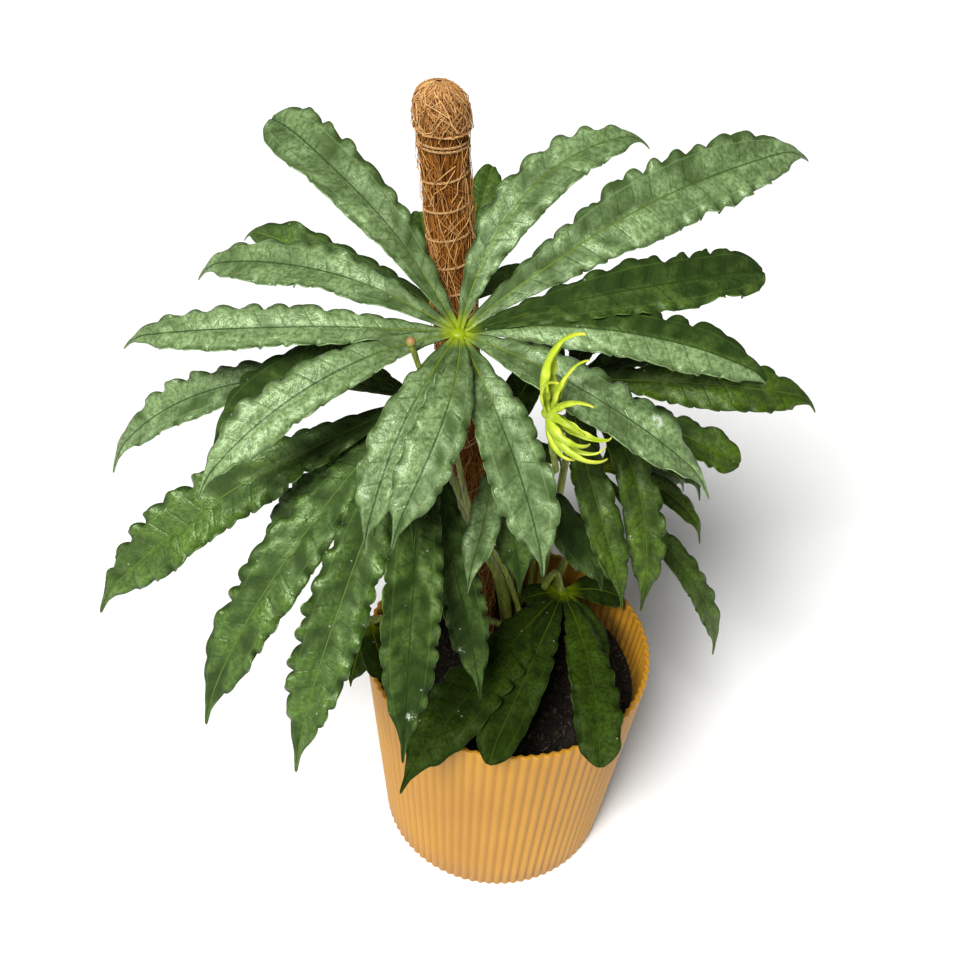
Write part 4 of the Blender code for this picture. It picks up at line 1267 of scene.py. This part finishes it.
# %% Soil materials
soil_dark, tree, shader = new_material("soil_dark", Roughness=0.95, Specular_IOR_Level=0.25)
clods = noise(tree, object_place(tree), 180.0, 6.0, 0.7)
colour = mix_colour(tree, ease(tree, clods, 0.35, 0.75), (0.004, 0.003, 0.002, 1), (0.022, 0.015, 0.008, 1))
wire(tree, shader, Base_Color=colour)
bump_from(tree, shader, clods, 1.0, 3.0 * MM)
dress_node("soil", soil_dark)

bark_chip, tree, shader = new_material("bark_chip", Specular_IOR_Level=0.25)
lot = put(tree, "ShaderNodeAttribute", out="Fac", attribute_name="chip_lot")
streaks = use_group(tree, grain, {"Scale": 900.0, "Stretch": 0.4})["Streaks"]
colour = mix_colour(tree, lot, (0.004, 0.003, 0.002, 1), (0.028, 0.018, 0.009, 1))
colour = toward(tree, colour, calc(tree, "GREATER_THAN", lot, 0.93), 0.5, (0.15, 0.09, 0.045, 1))
colour = toward(tree, colour, streaks, 0.6, (0.02, 0.014, 0.008, 1))
wire(tree, shader, Base_Color=colour, Roughness=times_plus(tree, lot, 0.35, 0.5))
bump_from(tree, shader, streaks, 0.7, 0.8 * MM)
print("materials:", soil_dark.name, bark_chip.name)

# %% [markdown]
# Geometry Nodes scatter points over the soil's top and put a rough chip on each, with a random turn
# and size. A chip is an icosphere with few faces, roughened by a noise. The points lie on a plain ring
# of faces just above the soil, and only the chips are kept. Chips laid by hand would do as well, but a
# seeded scatter is quick to change and comes out the same on every run.

# %% Scatter the bark
SOIL_RADIUS = 73 * MM
SOIL_HOLE = 4 * MM
SOIL_RINGS = 8
SOIL_SIDES = 40
CHIP_SIZE = 3.2 * MM
CHIP_DENSITY = 110000.0
CHIP_STRETCH = ((0.35, 0.35, 0.2), (1.8, 1.1, 0.6))
FULL_TURN = (6.28, 6.28, 6.28)

scatter, given = group_with("scattered_bark", "GeometryNodeTree",
                            {"Geometry": None, "Density": 60000.0, "Chip Size": CHIP_SIZE, "Seed": 4},
                            {"Geometry": None})


def random_vector(tree, low, high, seed):
    inputs = {0: low, 1: high, "Seed": seed}
    return put(tree, "FunctionNodeRandomValue", inputs, data_type="FLOAT_VECTOR")


spots = put(scatter, "GeometryNodeDistributePointsOnFaces",
            {"Mesh": given["Geometry"], "Density": given["Density"], "Seed": given["Seed"]})
chip = put(scatter, "GeometryNodeMeshIcoSphere", {"Radius": 0.5, "Subdivisions": 1})
rough = put(scatter, "ShaderNodeTexNoise", {"Scale": 2.6}, out="Color")
chip = shift_points(scatter, chip, offset=vector_calc(scatter, "SUBTRACT", rough, (0.5, 0.5, 0.5)))
turn = random_vector(scatter, (0.0, 0.0, 0.0), FULL_TURN, given["Seed"])
sizes = vector_calc(scatter, "SCALE", random_vector(scatter, *CHIP_STRETCH, 9), given["Chip Size"])
chips = put(scatter, "GeometryNodeInstanceOnPoints",
            {"Points": spots, "Instance": chip, "Rotation": turn, "Scale": sizes})
chip_lot = put(scatter, "FunctionNodeRandomValue", {2: 0.0, 3: 1.0, "Seed": 21}, out=1, data_type="FLOAT")
finish_tree(scatter, store(scatter, chips, "chip_lot", chip_lot, "INSTANCE"), bark_chip)


def soil_ring(radius, height):
    """A flat ring of faces for the bark to lie on."""
    angles = 2 * math.pi * np.arange(SOIL_SIDES) / SOIL_SIDES
    vertices = [(r * math.cos(a), r * math.sin(a), height)
                for r in np.linspace(SOIL_HOLE, radius, SOIL_RINGS) for a in angles]
    faces = [(a, d, c, b) for a, b, c, d in ring_walls(SOIL_RINGS, SOIL_SIDES)]
    return plain_mesh("soil_ring", vertices, faces)


bark_bed = soil_ring(SOIL_RADIUS - 2 * MM, SOIL_TOP + 0.6 * MM)
bark_values = {"Density": CHIP_DENSITY, "Chip Size": CHIP_SIZE, "Seed": 4}
show_piece("bark_chips", run_tree("bark_chips", bark_bed, scatter, bark_values), "soil_dark")

# %% [markdown]
# ## The coir pole
# The pole is a stake wrapped in coconut fibre. Three things make it look right: a lumpy dark core,
# thousands of fibres that lie mostly lengthwise on it, and lighter loose strands that cross them. Its
# top is rounded and a little thicker, and it leans to the left.

# %% Pole sizes
POLE_FOOT = (-16.5 * MM, 24 * MM, 112 * MM)
POLE_LEAN = 0.103
POLE_TOP = 454 * MM
WRAP_FOOT = 92 * MM
WRAP_RADIUS = 10.2 * MM
CAP_RADIUS = 11.2 * MM
CAP_FOOT = POLE_TOP - 23 * MM
CAP_SWELLS_OVER = 6 * MM
BAND_HEIGHT = 427.5 * MM


def on_pole(vertices):
    """Move vertices made about +Z onto the leaning pole, at the heights they have."""
    return [(x + POLE_FOOT[0] - POLE_LEAN * (z - POLE_FOOT[2]), y + POLE_FOOT[1], z) for x, y, z in vertices]


print("pole leans", round(math.degrees(math.atan(POLE_LEAN)), 1), "degrees")

# %% [markdown]
# The thread climbs in wide turns low down and in close turns near the top. Its turns pinch the coir, so
# their heights are worked out once, for the core and for the thread itself.

# %% Turns of the thread
THREAD_STEPS = 12
THREAD_FOOT = 125 * MM
THREAD_TOP = 424 * MM
CLOSE_TURNS_FROM = 330 * MM
CLOSE_TURN = 14 * MM
WIDE_TURN = 30 * MM

thread_heights, thread_angles = [], []
height, angle = THREAD_FOOT, 0.0
while height < THREAD_TOP:
    thread_heights.append(height)
    thread_angles.append(angle)
    height += (CLOSE_TURN if height > CLOSE_TURNS_FROM else WIDE_TURN) / THREAD_STEPS
    angle += 2 * math.pi / THREAD_STEPS


def thread_gap(height, turn):
    """How far up or down the nearest turn of thread lies, at this side of the pole."""
    near = np.interp(turn + 2 * math.pi * np.arange(-1, 24), thread_angles, thread_heights, left=-1, right=-1)
    return min(abs(height - h) for h in [*near[near > 0], BAND_HEIGHT])


print(len(thread_heights), "points on the thread")

# %% [markdown]
# The core is a stack of rings with random lumps. Each ring is pinched where the thread passes, and the
# last three close it into the rounded top.

# %% Core of the pole
CORE_SIDES = 40
CORE_STEP = 2.5 * MM
CORE_SEED = 5
CORE_BELOW_FIBRES = 0.9 * MM
CORE_CAP_TURNS = (25, 50, 72)
CORE_CAP_HEIGHT = 9.4 * MM
LUMP = 0.7 * MM
PINCH = 1.1 * MM
PINCH_REACH = 3 * MM


def core_mesh():
    """The lumpy core under the fibres, pinched at each turn of the thread."""
    turns = 2 * math.pi * np.arange(CORE_SIDES) / CORE_SIDES
    heights = np.arange(WRAP_FOOT, POLE_TOP - 9 * MM, CORE_STEP)
    lumps = np.random.default_rng(CORE_SEED).uniform(-1, 1, (len(heights) + 4, CORE_SIDES))
    rings = []
    for i, z in enumerate(heights):
        swell = smooth_step(min(max((z - CAP_FOOT) / CAP_SWELLS_OVER, 0.0), 1.0))
        base = WRAP_RADIUS + (CAP_RADIUS - WRAP_RADIUS) * swell - CORE_BELOW_FIBRES
        soft = (lumps[i] + lumps[i + 1] + np.roll(lumps[i], 1) + np.roll(lumps[i + 1], 1)) / 4
        pinch = [PINCH * math.exp(-(thread_gap(z, turn) / PINCH_REACH) ** 2) for turn in turns]
        rings.append((base + LUMP * soft - pinch, z))
    for turn in np.radians(CORE_CAP_TURNS):
        rings.append(((CAP_RADIUS - 1.0 * MM) * math.cos(turn) + 0 * turns,
                      POLE_TOP - 10 * MM + CORE_CAP_HEIGHT * math.sin(turn)))
    vertices = [(r * math.cos(a), r * math.sin(a), z) for radii, z in rings for r, a in zip(radii, turns)]
    vertices += [(0, 0, WRAP_FOOT), (0, 0, POLE_TOP - 0.8 * MM)]
    return plain_mesh("coir_core", on_pole(vertices), ring_faces(len(rings), CORE_SIDES))


coir_core, tree, shader, streaks, colour = streaky_material(
    "coir_core", 650.0, 0.10, (0.030, 0.010, 0.002), (0.16, 0.062, 0.014), 1.0, 1.2 * MM,
    Roughness=0.95, Specular_IOR_Level=0.2)
wire(tree, shader, Base_Color=toward(tree, colour, streaks["Blotches"], 0.4, (0.10, 0.045, 0.018, 1)))
core = show_piece("coir_core", core_mesh(), "coir_brown", "coir_wrap")
core.data.materials.append(coir_core)
core.data.shade_smooth()

# %% [markdown]
# Fibres, strands and thread wear the same kind of material: each draws its colour between a dark and a
# light one by its own lot. The strands over the rounded top are the lightest.

# %% Fibre materials
def fibre_material(name, dark, light):
    """A fibre whose colour is drawn from its own lot."""
    material, tree, shader = new_material(name, Roughness=0.75, Specular_IOR_Level=0.15)
    lot = put(tree, "ShaderNodeAttribute", out="Fac", attribute_name="fibre_lot")
    blotches = use_group(tree, grain, {"Scale": 1200.0, "Stretch": 0.2})["Blotches"]
    colour = mix_colour(tree, lot, (*dark, 1), (*light, 1))
    wire(tree, shader, Base_Color=toward(tree, colour, blotches, 0.5, (*dark, 1)))
    return material


coir_fibre = fibre_material("coir_fibre", (0.110, 0.032, 0.002), (0.47, 0.180, 0.028))
coir_strand = fibre_material("coir_strand", (0.34, 0.135, 0.026), (0.84, 0.50, 0.19))
coir_cap = fibre_material("coir_cap", (0.30, 0.115, 0.022), (0.95, 0.60, 0.26))
twine_tan = fibre_material("twine_tan", (0.34, 0.18, 0.07), (0.60, 0.38, 0.17))
print("materials:", coir_fibre.name, coir_strand.name, coir_cap.name, twine_tan.name)

# %% [markdown]
# Painted fibres would look flat along the pole's edge, so each fibre is a thin tube round a curve of
# nine points. A Geometry Nodes tree copies one short line many times and moves the points of each copy
# onto the leaning pole, at its own random angle and height, wandering a little. Every random value is
# drawn for the number of the copy, so all nine points of a fibre share its angle, its height and its
# slope. Past the foot of the rounded top, the climb becomes a turn over it.

# %% Fibre tree
FIBRE_POINTS = 9
FIBRE_SIDES = 3
DOME_FOOT = POLE_TOP - 11 * MM
DOME_RADIUS = 10.5 * MM
DOME_HEIGHT = 10.6 * MM
LAST_DOME_TURN = 1.45
FIBRE_LUMP = 0.35 * MM


def coir_tree(name, material):
    """Geometry Nodes tree that lays many thin fibres on the pole."""
    tree, given = group_with(name, "GeometryNodeTree",
                             {"Geometry": None, "Count": 100, "Length": 0.04, "Slope": 0.5, "Wander": 0.3,
                              "Radius": 0.010, "Stand Off": 0.001, "Thickness": 0.0002, "Low": 0.1,
                              "High": 0.45, "Seed": 1}, {"Geometry": None})
    line = put(tree, "GeometryNodeCurvePrimitiveLine", {"Start": (0, 0, 0), "End": (0, 0, 1)})
    line = put(tree, "GeometryNodeResampleCurve", {"Curve": line, "Count": FIBRE_POINTS})
    copies = put(tree, "GeometryNodeDuplicateElements", {"Geometry": line, "Amount": given["Count"]},
                 domain="SPLINE").node.outputs
    number = copies["Duplicate Index"]

    def draw(low, high, step):
        inputs = {2: low, 3: high, "ID": number, "Seed": plus(tree, given["Seed"], float(step))}
        return put(tree, "FunctionNodeRandomValue", inputs, out=1, data_type="FLOAT")

    share = put(tree, "GeometryNodeSplineParameter")
    middle = minus(tree, share, 0.5)
    wave = noise(tree, combine(tree, x=times(tree, number, 3.7), y=share), 2.2, 1.0)
    slope = times(tree, draw(-1.0, 1.0, 1), given["Slope"])
    turn = plus(tree, draw(0.0, 6.283, 2), times(tree, middle, slope))
    turn = plus(tree, turn, times(tree, minus(tree, wave, 0.5), given["Wander"]))
    length = times(tree, draw(0.5, 1.3, 3), given["Length"])
    span = minus(tree, given["High"], given["Low"])
    height = times_plus(tree, draw(0.0, 1.0, 4), span, given["Low"])
    height = calc(tree, "MAXIMUM", plus(tree, height, times(tree, middle, length)), given["Low"])

    climb = calc(tree, "MAXIMUM", minus(tree, height, DOME_FOOT), 0.0)
    dome_turn = calc(tree, "MINIMUM", calc(tree, "DIVIDE", climb, DOME_RADIUS), LAST_DOME_TURN)
    dome_rise = times(tree, calc(tree, "SINE", dome_turn), DOME_HEIGHT)
    z = plus(tree, calc(tree, "MINIMUM", height, DOME_FOOT), dome_rise)
    swell = times(tree, ease(tree, height, CAP_FOOT, CAP_FOOT + CAP_SWELLS_OVER), CAP_RADIUS - WRAP_RADIUS)
    lump = times(tree, draw(-1.0, 1.0, 5), FIBRE_LUMP)
    stray = times(tree, times(tree, calc(tree, "ABSOLUTE", middle), given["Stand Off"]), draw(0.0, 2.0, 6))
    radius = plus(tree, plus(tree, given["Radius"], swell), plus(tree, lump, stray))
    radius = times(tree, radius, calc(tree, "COSINE", dome_turn))
    lean = plus(tree, times(tree, minus(tree, z, POLE_FOOT[2]), -POLE_LEAN), POLE_FOOT[0])
    x = plus(tree, times(tree, radius, calc(tree, "COSINE", turn)), lean)
    y = plus(tree, times(tree, radius, calc(tree, "SINE", turn)), POLE_FOOT[1])
    fibres = shift_points(tree, copies["Geometry"], position=combine(tree, x=x, y=y, z=z))
    fibres = store(tree, fibres, "fibre_lot", draw(0.0, 1.0, 7))
    finish_tree(tree, tube_along(tree, fibres, FIBRE_SIDES, given["Thickness"]), material)
    return tree


print("points on a fibre:", FIBRE_POINTS)

# %% [markdown]
# Three layers are laid with three trees: lengthwise fibres, crossing strands that stand off a little,
# and longer, thicker strands that wrap the rounded top. Each layer starts from the values of the one
# before.

# %% Lay the fibres
lengthwise = {"Count": 2600, "Length": 0.045, "Slope": 0.55, "Wander": 0.5,
              "Radius": WRAP_RADIUS - 0.3 * MM, "Stand Off": 0.8 * MM, "Thickness": 0.24 * MM,
              "Low": 118 * MM, "High": POLE_TOP + 2 * MM, "Seed": 30}
crossing = {**lengthwise, "Count": 520, "Length": 0.042, "Slope": 2.8, "Wander": 1.9,
            "Radius": WRAP_RADIUS + 0.1 * MM, "Stand Off": 2.4 * MM, "Thickness": 0.20 * MM, "Seed": 60}
over_cap = {**crossing, "Count": 260, "Length": 0.044, "Slope": 3.6, "Radius": WRAP_RADIUS,
            "Thickness": 0.25 * MM, "Low": POLE_TOP - 20 * MM, "High": POLE_TOP + 7 * MM, "Seed": 90}
for name, tree_name, material, values in (("coir_fibres", "coir_lengthwise", coir_fibre, lengthwise),
                                          ("coir_strands", "coir_crossing", coir_strand, crossing),
                                          ("cap_strands", "coir_over_cap", coir_cap, over_cap)):
    empty_mesh = bpy.data.meshes.new("no_geometry")
    show_piece(name, run_tree(name, empty_mesh, coir_tree(tree_name, material), values), "coir_brown")

# %% [markdown]
# The thread and the band are two-ply: two thin strands twisted round each other. One smooth cord with
# painted stripes would lose its twist at the edges, so both strands are real. One tree takes any route
# as an edge path, and lays both strands round it.

# %% Twisted thread
PLY_SIDES = 6
PLY_LOTS = (0.25, 0.75)
twist, given = group_with("twisted_thread", "GeometryNodeTree",
                          {"Geometry": None, "Ply Radius": 0.0003, "Twist Length": 0.003}, {"Geometry": None})
route = put(twist, "GeometryNodeMeshToCurve", {"Mesh": given["Geometry"]})
route = put(twist, "GeometryNodeResampleCurve", {"Curve": route, "Length": 0.5 * MM}, mode="LENGTH")
walked = put(twist, "GeometryNodeSplineParameter", out="Length")
normal = put(twist, "GeometryNodeInputNormal")
other = vector_calc(twist, "CROSS_PRODUCT", put(twist, "GeometryNodeInputTangent"), normal)
turns = calc(twist, "DIVIDE", walked, given["Twist Length"])
join = twist.nodes.new("GeometryNodeJoinGeometry")
for ply, ply_lot in enumerate(PLY_LOTS):
    turn = times_plus(twist, turns, 2 * math.pi, ply * math.pi)
    a, b = (vector_calc(twist, "SCALE", direction, times(twist, calc(twist, wave, turn), given["Ply Radius"]))
            for direction, wave in ((normal, "COSINE"), (other, "SINE")))
    strand = shift_points(twist, route, offset=vector_calc(twist, "ADD", a, b))
    strand = store(twist, strand, "fibre_lot", ply_lot)
    twist.links.new(tube_along(twist, strand, PLY_SIDES, given["Ply Radius"]), join.inputs[0])
finish_tree(twist, join.outputs[0], twine_tan)
print("tree:", twist.name)

# %% [markdown]
# The thread follows its turns up the pole. The band is two close turns just outside it, near the top.

# %% Wind the thread and the band
PLY_RADIUS = 0.33 * MM
TWIST_LENGTH = 3 * MM
THREAD_POINTS = 900
THREAD_REACH = WRAP_RADIUS + 0.5 * MM
BAND_REACH = THREAD_REACH + 0.4 * MM
BAND_TURNS = 2
BAND_STEPS = 72
BAND_PITCH = 1.8 * MM


def wind(name, node, reach, turns, heights):
    """Wind the twisted thread round the pole at the given turns and heights."""
    points = [(reach * math.cos(turn), reach * math.sin(turn), z) for turn, z in zip(turns, heights)]
    path = plain_mesh(node + "_route", on_pole(points), [], [(i, i + 1) for i in range(len(points) - 1)])
    values = {"Ply Radius": PLY_RADIUS, "Twist Length": TWIST_LENGTH}
    show_piece(name, run_tree(name, path, twist, values), "twine_tan", node)


walked = np.linspace(0, len(thread_heights) - 1, THREAD_POINTS)
numbers = range(len(thread_heights))
wind("binding_thread_fine", "binding_thread", THREAD_REACH,
     np.interp(walked, numbers, thread_angles), np.interp(walked, numbers, thread_heights))
band_shares = np.arange(BAND_TURNS * BAND_STEPS + 1) / BAND_STEPS
wind("pole_band_fine", "pole_band", BAND_REACH, 2 * math.pi * band_shares,
     BAND_HEIGHT + BAND_PITCH * (band_shares - 1))

# %% [markdown]
# The stake stays inside the coir. It still gets a wood material, because the frame keeps it.

# %% Stake material
stake_wood, tree, shader = new_material("stake_wood", Roughness=0.7)
streaks = use_group(tree, grain, {"Scale": 300.0, "Stretch": 0.05})["Streaks"]
wire(tree, shader, Base_Color=mix_colour(tree, streaks, (0.25, 0.14, 0.06, 1), (0.48, 0.32, 0.17, 1)))
dress_node("pole_stake", stake_wood)
print("material:", stake_wood.name)
